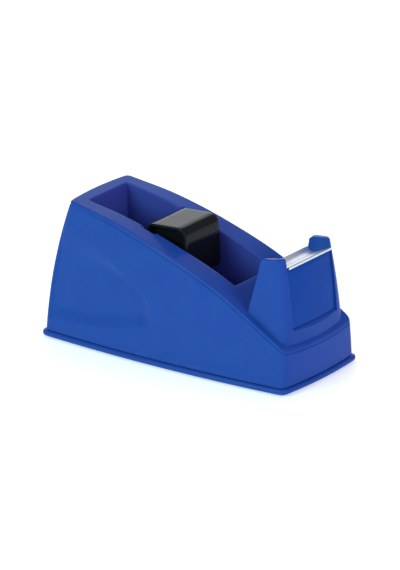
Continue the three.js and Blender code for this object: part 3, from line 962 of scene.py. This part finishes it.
    def floor_height(self, x: Array, grow: float) -> Array:
        """Height of the well floor: level, then a quarter circle up to each end wall."""
        radius = self.well_floor_radius + grow
        near = np.minimum(x - (self.well_back - grow), (self.well_front + grow) - x)
        reach = np.clip(radius - near, 0, radius)
        return self.well_floor - grow + radius - np.sqrt(radius**2 - reach**2)

    def top_and_well(self, start: Array, edge: Array, drop: float, grow: float, fine: bool) -> list[Array]:
        """Rings over the rim surface, down the well and to the middle of its floor.

        Args:
            start: The wall's last ring, where the rounding of its top edge starts.
            edge: The wall's sharp top edge.
            drop: How far the surface lies under the rim.
            grow: How far the well is grown.
            fine: Whether edges are rounded and rings are close.

        Returns:
            The rings.
        """
        plan = self.well_plan(grow)
        mouth = np.column_stack([plan, self.rim(plan[:, 0]) - drop])
        step = mouth - edge
        length = np.linalg.norm(step, axis=1, keepdims=True)
        outer = edge + step * (self.rim_edge if fine else 0.5) / length
        brim = mouth - step * (self.well_edge if fine else 0.2) / length
        outer[:, 2] = self.rim(outer[:, 0]) - drop
        brim[:, 2] = self.rim(brim[:, 0]) - drop
        wall_top = mouth - (0, 0, self.well_edge if fine else 0.2)
        rings = bend(start, edge, outer, 7 if fine else 2)[1:]
        for t in np.linspace(0, 1, 16 if fine else 6)[1:-1]:
            ring = mix(outer, brim, t)
            ring[:, 2] = self.rim(ring[:, 0]) - drop
            rings.append(ring)
        rings += bend(brim, mouth, wall_top, 5 if fine else 2)
        base = self.floor_height(plan[:, 0], grow)
        for t in np.linspace(0, 1, 20 if fine else 6)[1:]:
            rings.append(np.column_stack([plan, mix(wall_top[:, 2], base, t)]))
        radius = self.well_floor_radius + grow
        ends = (self.well_back - grow + radius, self.well_front + grow - radius)
        for angle in np.linspace(0, math.pi / 2, 12 if fine else 6)[1:]:
            share = 1 - math.cos(angle)
            x = mix(plan[:, 0], np.clip(plan[:, 0], *ends), share)
            y = plan[:, 1] * (1 - share)
            rings.append(np.column_stack([x, y, self.floor_height(x, grow)]))
        return rings

    def shell_body(self) -> bpy.types.Object:
        """The double-walled shell: up the outside, over the rim, down the well, and back inside."""
        outer, edge = self.wall_rings(0.0, True)
        outside = outer + self.top_and_well(outer[-1], edge, 0.0, 0.0, True)
        inner, inner_edge = self.wall_rings(self.wall, False)
        inside = inner + self.top_and_well(inner[-1], inner_edge, self.wall, self.wall - 0.2, False)
        return Surface().loft(outside[::-1] + inside).build("housing_shell", 32.0)

    def tower_front(self, y: Array, z: Array) -> Array:
        """x of the tower's front face."""
        x = self.tower.half_length + self.tower.end_bow * (1 - (y / self.tower.across) ** 2)
        return self.tower.lean(x, y, z)[0]

    def tower_waist(self, z: float) -> float:
        """x of the tower's concave back at a height: a quadratic curve through its three points."""
        curve = np.array(bend(*(np.array(point) for point in self.tower_back), 30))
        return float(np.interp(z, curve[:, 1], curve[:, 0]))

    def crown_height(self, x: Array) -> Array:
        """Height of the sloping crown over x."""
        (x0, z0), (x1, z1) = self.crown
        return z0 + (x - x0) * (z1 - z0) / (x1 - x0)

    def tower_ring(self, level: float, shrink: float, lower: float) -> Array:
        """One ring round the tower, on a tilted level between its buried foot and its crown.

        Args:
            level: 0 at the foot, 1 at the crown.
            shrink: How far the ring is moved inwards.
            lower: How far it lies below its level.

        Returns:
            The ring's points.
        """
        def height(x: Any) -> Any:
            """Height of the level over x, between the foot, which slopes down forwards, and the crown."""
            foot_x, foot_z, fall = self.tower_foot
            return mix(foot_z - (x - foot_x) * fall, self.crown_height(x), level) - lower

        back = 40.0  # first guess, which the loop brings onto the waist
        for _ in range(8):
            back = self.tower_waist(float(height(back)))
        dome = self.tower
        corners = [(back, -dome.half_width), (dome.half_length, -dome.half_width),
                   (dome.half_length, dome.half_width), (back, dome.half_width)]
        radii = (self.back_radius, self.tower_radius, self.tower_radius, self.back_radius)
        ring = rounded_outline(corners, radii, (30, 40, 30, 24))
        ring = ring + inward(ring) * shrink
        x, y = ring.T
        near = smooth((x - back) / (dome.half_length - back))
        x = x + dome.end_bow * (1 - (y / dome.across) ** 2) * near
        y = y * (1 + dome.side_bow * (1 - (x / dome.along) ** 2) / dome.half_width)
        z = height(x)
        for _ in range(3):
            z = height(dome.lean(x, y, z)[0])
        x, y = dome.lean(x, y, z)
        x = np.maximum(x, back + shrink)
        return np.column_stack([x, y, z])

    def tower_block(self) -> bpy.types.Object:
        """The solid tower before its pocket is cut: rings up to a rounded crown."""
        edge = self.crown_edge
        rings = [self.tower_ring(level, 0.0, 0.0) for level in np.linspace(0, 0.955, 34)]
        turns = np.linspace(0, math.pi / 2, 8)
        rings += [self.tower_ring(1.0, edge * (1 - math.cos(f)), edge * (1 - math.sin(f))) for f in turns]
        return Surface().loft(rings, caps=True).build("tower_block")

    def pocket_ring(self, z: float, back: float, narrow: float = 1.0, sill: float = 0.0) -> Array:
        """One ring of the pocket cutter, flared by a square law where it leaves the tower's front and crown.

        Args:
            z: Its height.
            back: x of its rear edge.
            narrow: Share of its width that it keeps.
            sill: How far it slopes down where it leaves the front.

        Returns:
            The ring's points.
        """
        face = float(self.tower_front(np.array(self.pocket_half_width), np.array(z)))
        start = face - self.pocket_flare
        inside, mouth = np.linspace(back, start - 0.1, 22), np.linspace(start, face + self.pocket_flare, 16)
        x = np.concatenate([inside, mouth, [self.pocket_front]])
        leave_front = np.clip((x - start) / self.pocket_flare, 0, 2)
        leave_top = np.clip((z - self.crown_height(x)) / self.crown_flare + 1, 0, 2)
        flare = self.pocket_flare * leave_front**2 + self.crown_flare * leave_top**2
        y = self.pocket_half_width + flare / 4
        height = z - sill * leave_front**1.5 / 2
        y = y * narrow
        near, far = np.column_stack([x, -y, height]), np.column_stack([x, y, height])
        return np.vstack([near, far[::-1]])

    def pocket(self) -> bpy.types.Object:
        """Cutter for the space between the cheeks: over the back wall it runs out to the rear as well."""
        (x0, z0), (x1, z1) = self.pocket_back
        soft, rear = self.pocket_soft, self.pocket_rear
        below_crown, crown_start, above = self.pocket_levels
        rings = [self.pocket_ring(z0, x0, 0.0, self.sill), self.pocket_ring(z0, x0, 1.0, self.sill)]
        for z in np.linspace(z0 + 0.2, z1 - soft, 10):
            rings.append(self.pocket_ring(z, mix(x0, x1, (z - z0) / (z1 - z0))))
        for turn in np.linspace(0, math.pi / 2, 5)[1:]:
            rings.append(self.pocket_ring(z1 - soft * (1 - math.sin(turn)), x1 - soft * (1 - math.cos(turn))))
        rings.append(self.pocket_ring(z1 + 0.001, rear))
        rings += [self.pocket_ring(z, rear) for z in np.linspace(z1 + 1.0, below_crown, 6)]
        rings += [self.pocket_ring(z, rear) for z in np.linspace(crown_start, above, 36)]
        return Surface().loft(rings).lid().build("pocket_cutter")

    def slots(self) -> bpy.types.Object:
        """Cutter for both axle slots: a bar with a round foot on the axle, leaning back to the rim."""
        radius = self.slot_width / 2
        turn = np.linspace(math.pi, 2 * math.pi, 17)
        foot = np.stack([radius * np.cos(turn), radius * np.sin(turn)], axis=1)
        bar = np.vstack([foot, [(radius, self.slot_length), (-radius, self.slot_length)]])
        c, s = math.cos(self.slot_lean), math.sin(self.slot_lean)
        outline = bar @ np.array([[c, s], [-s, c]]) + self.axle[[0, 2]]
        reach = self.well_half_width + self.slot_depth
        rings = [side_ring(outline, y) for y in (-reach, reach)]
        return Surface().loft(rings, caps=True).build("slot_cutter")

    def build(self, shop: Shop) -> None:
        """Makes the shell, adds the tower, cuts pocket and slots, and fits the piece."""
        shell = self.shell_body()
        tower = self.tower_block()
        combine(tower, [self.pocket()], Cut.REMOVE)
        combine(shell, [tower], Cut.JOIN)
        combine(shell, [self.slots()], Cut.REMOVE, 32.0)
        shop.fit(shell, Finish.HOUSING_BLUE, "housing", "body_shell")


# ----------------------------------------------------------------------------
# Base, cutter, hub and underside
# ----------------------------------------------------------------------------


@dataclass
class BasePlate:
    """Base plate: a flange with a fully rounded rim, a lip inside the shell, and recesses underneath."""

    end_bow: float = 1.3
    side_bow: float = 2.5
    radius: float = 3.4
    least_radius: float = 1.2
    recess_inset: float = 9.0
    counts: tuple[int, int, int] = (70, 30, 10)
    flange: float = 2.3
    edge: float = 1.05
    proud: float = 1.3
    lip_inset: float = 3.9
    lip: float = 1.4
    lip_height: float = 2.4
    land: float = 3.4
    recess: float = 0.35
    foot_clearance: float = 0.3
    foot_recess: float = 1.8
    head_clearance: float = 0.4
    head_recess: float = 2.8

    def ring(self, inset: float, z: float) -> Array:
        """The plate's plan with its sides an inset further in, at a height."""
        low, high = box_mm("base_plate")
        half_length, half_width = high[0] - self.end_bow - inset, high[1] - self.side_bow - inset
        dome = Dome(half_length, half_width, max(self.radius - inset, self.least_radius), low[2])
        side, end, turn = self.counts
        plan = dome.plan(np.linspace(0, 1, side), np.linspace(0, 1, end), turn)
        return np.column_stack([plan, np.full(len(plan), z)])

    def build(self, shop: Shop) -> None:
        """Lofts the plate from its underside over the rim and lip, cuts the recesses and fits it."""
        foot, edge, middle = box_mm("base_plate")[0][2], self.edge, self.recess_inset
        top = foot + self.flange
        profile = [(middle, foot + self.recess), (self.land + 0.4, foot + self.recess), (self.land, foot)]
        turns = np.linspace(0, math.pi / 2, 7)
        profile += [(edge * (1 - math.sin(f)), foot + edge * (1 - math.cos(f))) for f in turns]
        profile += [(edge * (1 - math.cos(f)), top - edge * (1 - math.sin(f))) for f in turns]
        inner = self.lip_inset
        profile += [(self.proud + 0.5, top), (inner, top), (inner, top + self.lip_height)]
        profile += [(inner + self.lip, top + self.lip_height), (inner + self.lip, top), (middle, top)]
        rings = [self.ring(inset, z) for inset, z in profile]
        plate = Surface().loft(rings, caps=True).build("base_plate_flange")
        cutters = []
        for node, clear, deep in (("foot", self.foot_clearance, self.foot_recess),
                                  ("base_screw", self.head_clearance, self.head_recess)):
            for corner in ("front_left", "front_right", "rear_left", "rear_right"):
                small, large = box_mm(f"{node}_{corner}")
                centre = (*((small + large) / 2)[:2], 0.0)
                radius = (large[0] - small[0]) / 2 + clear
                profile = [(radius, -1.0), (radius, deep - 0.2), (radius - 0.2, deep)]
                cutters.append(Surface().loft(turned(profile, centre, "z", 48), caps=True).build("recess"))
        combine(plate, cutters, Cut.REMOVE)
        shop.fit(plate, Finish.HOUSING_BLUE, "housing", "base_plate")


@dataclass
class Cutter:
    """The insert between the cheeks: a recessed front panel with the blade's seat, and the toothed blade."""

    path: tuple[tuple[float, float], ...] = (
        (41.6, 47.8), (43.2, 46.5), (45.4, 46.2), (48.4, 47.4), (53.1, 49.6),
    )
    half_width: float = 14.6
    thickness: float = 0.5
    teeth: int = 34
    tooth: float = 0.75
    crease: float = 0.55
    crease_depth: float = 0.6
    land: float = 0.2
    nose: float = -0.25
    under_trough: tuple[tuple[float, float], ...] = ((0.0, -0.45), (0.35, -0.2))
    under_lip: tuple[float, float] = (0.35, -0.3)
    tooth_edge: float = 0.12
    brow_x: float = 52.9
    seat_gap: float = 0.3
    panel_recess: float = 0.95
    panel_thickness: float = 1.8
    panel_top: float = 49.0
    panel_gap: float = 0.04
    panel_edge: float = 0.3
    under: float = 43.5

    def bent(self, offset: float) -> Array:
        """The blade's bend, moved square to itself by an offset."""
        curve = spline(self.path, 8)
        slope = np.gradient(curve, axis=0)
        slope /= np.linalg.norm(slope, axis=1, keepdims=True)
        return curve + np.stack([-slope[:, 1], slope[:, 0]], axis=1) * offset

    def blade(self) -> bpy.types.Object:
        """Bent strip with a pressed groove behind ground teeth, lofted across in half-tooth steps.

        Returns:
            The piece.
        """
        upper, lower = self.bent(self.thickness / 2), self.bent(-self.thickness / 2)
        keep = upper[:, 0] < self.brow_x - 0.2
        upper, lower = upper[keep], lower[keep]
        ahead = (upper[-1] - upper[-2]) / np.linalg.norm(upper[-1] - upper[-2])
        up = np.array([-ahead[1], ahead[0]])
        brow = upper[-1] + ahead * (self.brow_x - upper[-1, 0]) / ahead[0]
        trough = brow + ahead * self.crease / 2 - up * self.crease_depth
        lip = brow + ahead * self.crease
        rings = []
        for i, y in enumerate(np.linspace(-self.half_width, self.half_width, 2 * self.teeth + 1)):
            reach = self.land + self.tooth * (i % 2)
            point = lip + np.array([reach, reach * self.nose])
            below = [trough + offset for offset in self.under_trough]
            under = np.array([*below, lip + self.under_lip, point - (0.0, self.tooth_edge)])
            rings.append(side_ring(np.vstack([lower, under, point, lip, trough, brow, upper[::-1]]), y))
        return Surface().loft(rings, caps=True).build("toothed_blade", 25.0)

    def panel(self) -> bpy.types.Object:
        """Front panel and seat: a side outline carried across, bowed like the tower's front.

        Returns:
            The piece.
        """
        housing = Housing()
        tower = housing.tower
        middle = tower.half_length - self.panel_recess

        def front(z: Any) -> Any:
            """x of the panel's face at a height, leaning back by a square law."""
            return middle - tower.front_lean[1] * (z - tower.foot) ** 2

        seat = self.bent(-(self.thickness / 2 + self.seat_gap))
        seat = seat[seat[:, 0] < front(self.panel_top) - 0.6][::-1]
        foot = housing.pocket_back[0][1] + self.panel_gap
        z = np.linspace(foot + 0.3, self.panel_top - 0.5, 16)
        face = np.column_stack([front(z), z])
        back = np.linspace(self.under, foot, 8)
        rear = np.column_stack([front(back) - self.panel_thickness, back])
        outline = np.vstack([
            [(front(foot) - 0.3, foot)], face, [(front(self.panel_top) - 0.25, self.panel_top - 0.1)],
            seat, [(seat[-1][0] + 0.3, self.under)], rear,
        ])
        into = inward(outline)
        edge, half = self.panel_edge, housing.pocket_half_width - self.panel_gap
        turns = np.linspace(0, math.pi / 2, 5)
        levels = [(edge * (1 - math.sin(f)), -half + edge * (1 - math.cos(f))) for f in turns]
        levels += [(0.0, y) for y in np.linspace(-half + edge, half - edge, 24)[1:-1]]
        levels += [(inset, -y) for inset, y in levels[4::-1]]
        rings = []
        for inset, y in levels:
            ring = side_ring(outline + into * inset, y)
            ring[:len(z) + 2, 0] += tower.end_bow * (1 - (y / tower.across) ** 2)
            rings.append(ring)
        return Surface().loft(rings, caps=True).build("cutter_panel", 35.0)

    def build(self, shop: Shop) -> None:
        """Makes both pieces and fits them."""
        shop.fit(self.panel(), Finish.CARRIER_BLUE, "housing", "cutter_carrier")
        shop.fit(self.blade(), Finish.BLADE_STEEL, "housing", "cutter_blade")


@dataclass
class Hub:
    """Black hub in two halves: a square tube with round corners, a recessed web and a bearing for the pin."""

    length: float = 19.2
    height: float = 22.2
    corner: float = 4.0
    wall: float = 1.2
    rim_edge: float = 0.3
    web_recess: float = 2.4
    bearing: float = 3.6
    bore: float = 2.05
    tilt: float = 0.06
    parting: float = 0.01
    parting_edge: float = 0.03
    chamfer: float = 0.25
    pin_chamfer: float = 0.4
    steps: tuple[int, int] = (10, 12)

    def square(self, inset: float) -> Array:
        """Rounded rectangle about the axle, moved inwards by an inset."""
        a, b = self.length / 2 - inset, self.height / 2 - inset
        radius = max(self.corner - inset, 0.6)
        corners = [(-a, -b), (a, -b), (a, b), (-a, b)]
        along, up = self.steps
        return rounded_outline(corners, (radius,) * 4, (along, up, along, up))

    def circle(self, radius: float) -> Array:
        """Circle with its points in line with the rounded rectangle's."""
        ring = self.square(0.0)
        return ring / np.linalg.norm(ring, axis=1, keepdims=True) * radius

    def half(self, side: int, axle: Array, reach: float) -> bpy.types.Object:
        """One half, from the parting face round the rim and web, through the bore and back inside.

        Args:
            side: 1 for the left half, -1 for the right.
            axle: Middle of the axle.
            reach: Y of the half's outer face.

        Returns:
            The piece.
        """
        edge, start = self.rim_edge, self.parting
        turns = np.linspace(0, math.pi / 2, 6)
        chamfer, soft = self.chamfer, self.parting_edge
        profile = [(self.square(soft), start), (self.square(0.0), start + soft)]
        profile += [(self.square(0.0), y) for y in np.linspace(start, reach - edge, 8)[1:-1]]
        profile += [(self.square(edge * (1 - math.cos(f))), reach - edge * (1 - math.sin(f))) for f in turns]
        inner = self.square(self.wall)
        web = reach - self.web_recess
        profile += [(self.square(self.wall - chamfer), reach), (inner, reach - chamfer), (inner, web + 0.2)]
        boss = self.circle(self.bearing + 0.3)
        profile += [(mix(self.square(self.wall + chamfer), boss, t), web) for t in np.linspace(0, 1, 8)]
        profile += [(self.circle(self.bearing), web + chamfer), (self.circle(self.bearing), reach - 0.2)]
        profile += [(self.circle(self.bearing - 0.2), reach), (self.circle(self.bore + chamfer), reach)]
        profile += [(self.circle(self.bore), reach - chamfer), (self.circle(self.bore), start)]
        profile += [(self.circle(self.bearing), start), (self.circle(self.bearing), web - self.wall)]
        profile += [(inner, web - self.wall), (inner, start)]
        c, s = math.cos(self.tilt), math.sin(self.tilt)
        turn = np.array([[c, s], [-s, c]])
        rings = [side_ring(outline @ turn, side * y) + axle for outline, y in profile]
        name = "hub_drum_left" if side > 0 else "hub_drum_right"
        return Surface().loft(rings, closed=True).build(name, 32.0)

    def build(self, shop: Shop) -> None:
        """Makes both halves and the pin between the slots."""
        low, high = box_mm("hub_axle")
        axle = (low + high) / 2
        reach = box_mm("hub_half_left")[1][1]
        shop.fit(self.half(1, axle, reach), Finish.HUB_BLACK, "hub", "hub_half_left")
        shop.fit(self.half(-1, axle, reach), Finish.HUB_BLACK, "hub", "hub_half_right")
        radius, chamfer, half = (high[2] - low[2]) / 2, self.pin_chamfer, high[1]
        profile = [(0.3, -half), (radius - chamfer, -half), (radius, -half + chamfer), (radius, 0)]
        profile += [(r, -y) for r, y in profile[2::-1]]
        pin = Surface().loft(turned(profile, axle, "y", 48), caps=True).build("hub_pin", 30.0)
        shop.fit(pin, Finish.HUB_BLACK, "spindle", "hub_axle")


@dataclass
class Underside:
    """Rubber feet and base screws at the four corners, and the hidden weights and screws inside."""

    foot_edge: float = 0.35
    foot_rings: tuple[float, ...] = (1.5, 2.6, 3.6)
    groove: float = 0.12
    groove_outline: tuple[float, float] = (0.22, 0.1)
    head_edge: float = 0.45
    head_height: float = 1.5
    shank: float = 1.1
    cross_arm: float = 1.27
    cross_half: float = 0.32
    cross_depth: float = 0.75

    def foot(self, corner: str) -> bpy.types.Object:
        """Round foot with a softened rim and shallow grip rings on its sole."""
        low, high = box_mm(f"foot_{corner}")
        centre = (*((low + high) / 2)[:2], 0.0)
        radius, top = (high[0] - low[0]) / 2, high[2]
        profile = [(0.2, 0.0)]
        wide, narrow = self.groove_outline
        for place in self.foot_rings:
            profile += [(place - wide, 0.0), (place - narrow, self.groove)]
            profile += [(place + narrow, self.groove), (place + wide, 0.0)]
        turns = np.linspace(0, math.pi / 2, 6)
        edge = self.foot_edge
        profile += [(radius - edge * (1 - math.sin(f)), edge * (1 - math.cos(f))) for f in turns]
        profile += [(radius, top - 0.1), (radius - 0.1, top), (0.2, top)]
        return Surface().loft(turned(profile, centre, "z", 64), caps=True).build(f"grip_foot_{corner}", 35.0)

    def cross(self, centre: tuple[float, float, float]) -> bpy.types.Object:
        """Tapered cross-shaped cutter for a screw head that faces down."""
        arm, half = self.cross_arm, self.cross_half
        outline = np.array([
            (arm, -half), (arm, half), (half, half), (half, arm), (-half, arm), (-half, half),
            (-arm, half), (-arm, -half), (-half, -half), (-half, -arm), (half, -arm), (half, -half),
        ])
        rings = [np.column_stack([outline * scale, np.full(12, z)]) + centre
                 for scale, z in ((1.1, -0.5), (1.0, 0.0), (0.6, self.cross_depth))]
        return Surface().loft(rings, caps=True).build("cross_cutter")

    def screw(self, corner: str) -> bpy.types.Object:
        """Pan-head screw from below: domed rim, cross recess and shank."""
        low, high = box_mm(f"base_screw_{corner}")
        centre = (*((low + high) / 2)[:2], low[2])
        radius, tip = (high[0] - low[0]) / 2, high[2] - low[2]
        edge = self.head_edge
        turns = np.linspace(0, math.pi / 2, 7)
        profile = [(0.1, 0.0)]
        profile += [(radius - edge * (1 - math.sin(f)), edge * (1 - math.cos(f))) for f in turns]
        profile += [(radius, self.head_height), (self.shank, self.head_height)]
        profile += [(self.shank, tip - self.shank), (0.1, tip)]
        rings = turned(profile, centre, "z", 64)
        piece = Surface().loft(rings, caps=True).build(f"cross_screw_{corner}", 30.0)
        combine(piece, [self.cross(centre)], Cut.REMOVE, 30.0)
        return piece

    def build(self, shop: Shop) -> None:
        """Fits feet and screws, and dresses the hidden CAD nodes."""
        for corner in ("front_left", "front_right", "rear_left", "rear_right"):
            shop.fit(self.foot(corner), Finish.FOOT_RUBBER, "housing", f"foot_{corner}")
            shop.fit(self.screw(corner), Finish.SCREW_STEEL, "housing", f"base_screw_{corner}")
        for end in ("front", "rear"):
            shop.dress(f"ballast_{end}", Finish.BALLAST_STEEL)
            shop.dress(f"ballast_screw_{end}", Finish.SCREW_STEEL)
        for side in ("left", "right"):
            shop.dress(f"carrier_screw_{side}", Finish.SCREW_STEEL)


# ----------------------------------------------------------------------------
# Studio
# ----------------------------------------------------------------------------


@dataclass
class Softbox:
    """A square area light."""

    name: str
    place: tuple[float, float, float]
    size: float
    power: float
    tint: tuple[float, float, float] = (1.0, 1.0, 1.0)

    def build(self, target: Vector) -> None:
        """Hangs the light and points it at a target."""
        lamp = bpy.data.lights.new(self.name, "AREA")
        lamp.shape = "SQUARE"
        lamp.size = self.size
        lamp.energy = self.power
        lamp.color = self.tint
        holder = bpy.data.objects.new(self.name, lamp)
        holder.location = self.place
        holder.rotation_euler = (target - Vector(self.place)).to_track_quat("-Z", "Y").to_euler()
        bpy.context.scene.collection.objects.link(holder)


@dataclass
class Studio:
    """Camera, lights, pale floor and pale surroundings."""

    azimuth: float = math.radians(35.6)
    elevation: float = math.radians(20.25)
    across: float = 0.2
    above: float = 24.75
    base: float = 0.6
    view_height: float = 227.0
    distance: float = 3.0
    sensor: float = 36.0
    floor_size: float = 6.0
    floor_glow: float = 0.45
    room: float = 0.5
    horizon: tuple[float, float, float] = (0.9, 0.95, 1.0)
    overhead: tuple[float, float, float] = (0.42, 0.34, 0.6)
    horizon_top: float = 0.45
    overhead_foot: float = 0.95
    lights: tuple[Softbox, ...] = (
        Softbox("key", (-0.35, -1.0, 0.55), 0.5, 8.5, (0.48, 1.0, 0.76)),
        Softbox("front", (1.0, -0.2, 0.45), 0.5, 4.0, (0.72, 0.95, 1.0)),
        Softbox("top", (-0.1, 0.25, 1.1), 0.5, 2.6, (0.9, 0.72, 1.0)),
        Softbox("back", (-0.75, 1.05, 0.48), 1.0, 3.4),
    )

    def camera(self) -> None:
        """Sets a long lens on the object: lens = sensor x distance / view height."""
        a, e = self.azimuth, self.elevation
        right = Vector((math.cos(a), math.sin(a), 0))
        up = Vector((-math.sin(e) * math.sin(a), math.sin(e) * math.cos(a), math.cos(e)))
        back = Vector((math.sin(a) * math.cos(e), -math.cos(a) * math.cos(e), math.sin(e)))
        aim = Vector((0, 0, self.base)) + right * self.across + up * self.above
        lens = bpy.data.cameras.new("main")
        lens.sensor_width = self.sensor
        lens.lens = self.sensor * self.distance / (self.view_height * MM)
        lens.clip_start = 0.05
        lens.clip_end = 50.0
        holder = bpy.data.objects.new("main", lens)
        holder.location = aim * MM + back * self.distance
        holder.rotation_euler = back.to_track_quat("Z", "Y").to_euler()
        bpy.context.scene.collection.objects.link(holder)
        bpy.context.scene.camera = holder

    def floor(self) -> None:
        """A level pale floor under the feet."""
        half = self.floor_size / 2
        mesh = bpy.data.meshes.new("floor")
        corners = [(-half, -half, 0), (half, -half, 0), (half, half, 0), (-half, half, 0)]
        mesh.from_pydata(corners, [], [(0, 1, 2, 3)])
        floor = bpy.data.objects.new("floor", mesh)
        bpy.context.scene.collection.objects.link(floor)
        paint = Paint("pale_floor")
        white = (1.0, 1.0, 1.0)
        paint.surface(
            Base_Color=(0.9, 0.9, 0.9), Roughness=0.6,
            Emission_Color=white, Emission_Strength=self.floor_glow,
        )
        mesh.materials.append(paint.material)

    def surroundings(self) -> None:
        """A room brighter near the horizon than overhead, and plain colour rendering."""
        world = bpy.data.worlds.new("pale_room")
        world.use_nodes = True
        nodes = Nodes(world.node_tree)
        direction = nodes.node("ShaderNodeTexCoord")["Generated"]
        height = nodes.node("ShaderNodeSeparateXYZ", {}, {0: direction})["Z"]
        stops = ((0.0, self.horizon), (self.horizon_top, self.horizon), (self.overhead_foot, self.overhead))
        sky = nodes.node("ShaderNodeValToRGB", {"stops": stops}, {0: height})["Color"]
        glow = nodes.node("ShaderNodeBackground", {}, {"Color": sky, "Strength": self.room})["Background"]
        nodes.node("ShaderNodeOutputWorld", {}, {"Surface": glow})
        bpy.context.scene.world = world
        bpy.context.scene.view_settings.view_transform = "Standard"

    def build(self) -> None:
        """Sets up everything round the object."""
        self.camera()
        self.floor()
        self.surroundings()
        for light in self.lights:
            light.build(Vector((0, 0, 0.03)))


def main() -> None:
    """Builds the studio and the dispenser's assemblies."""
    logging.basicConfig(level=logging.INFO, format="%(name)s: %(message)s")
    Studio().build()
    shop = Shop()
    Housing().build(shop)
    BasePlate().build(shop)
    Cutter().build(shop)
    Hub().build(shop)
    Underside().build(shop)


if __name__ == "__main__":
    main()
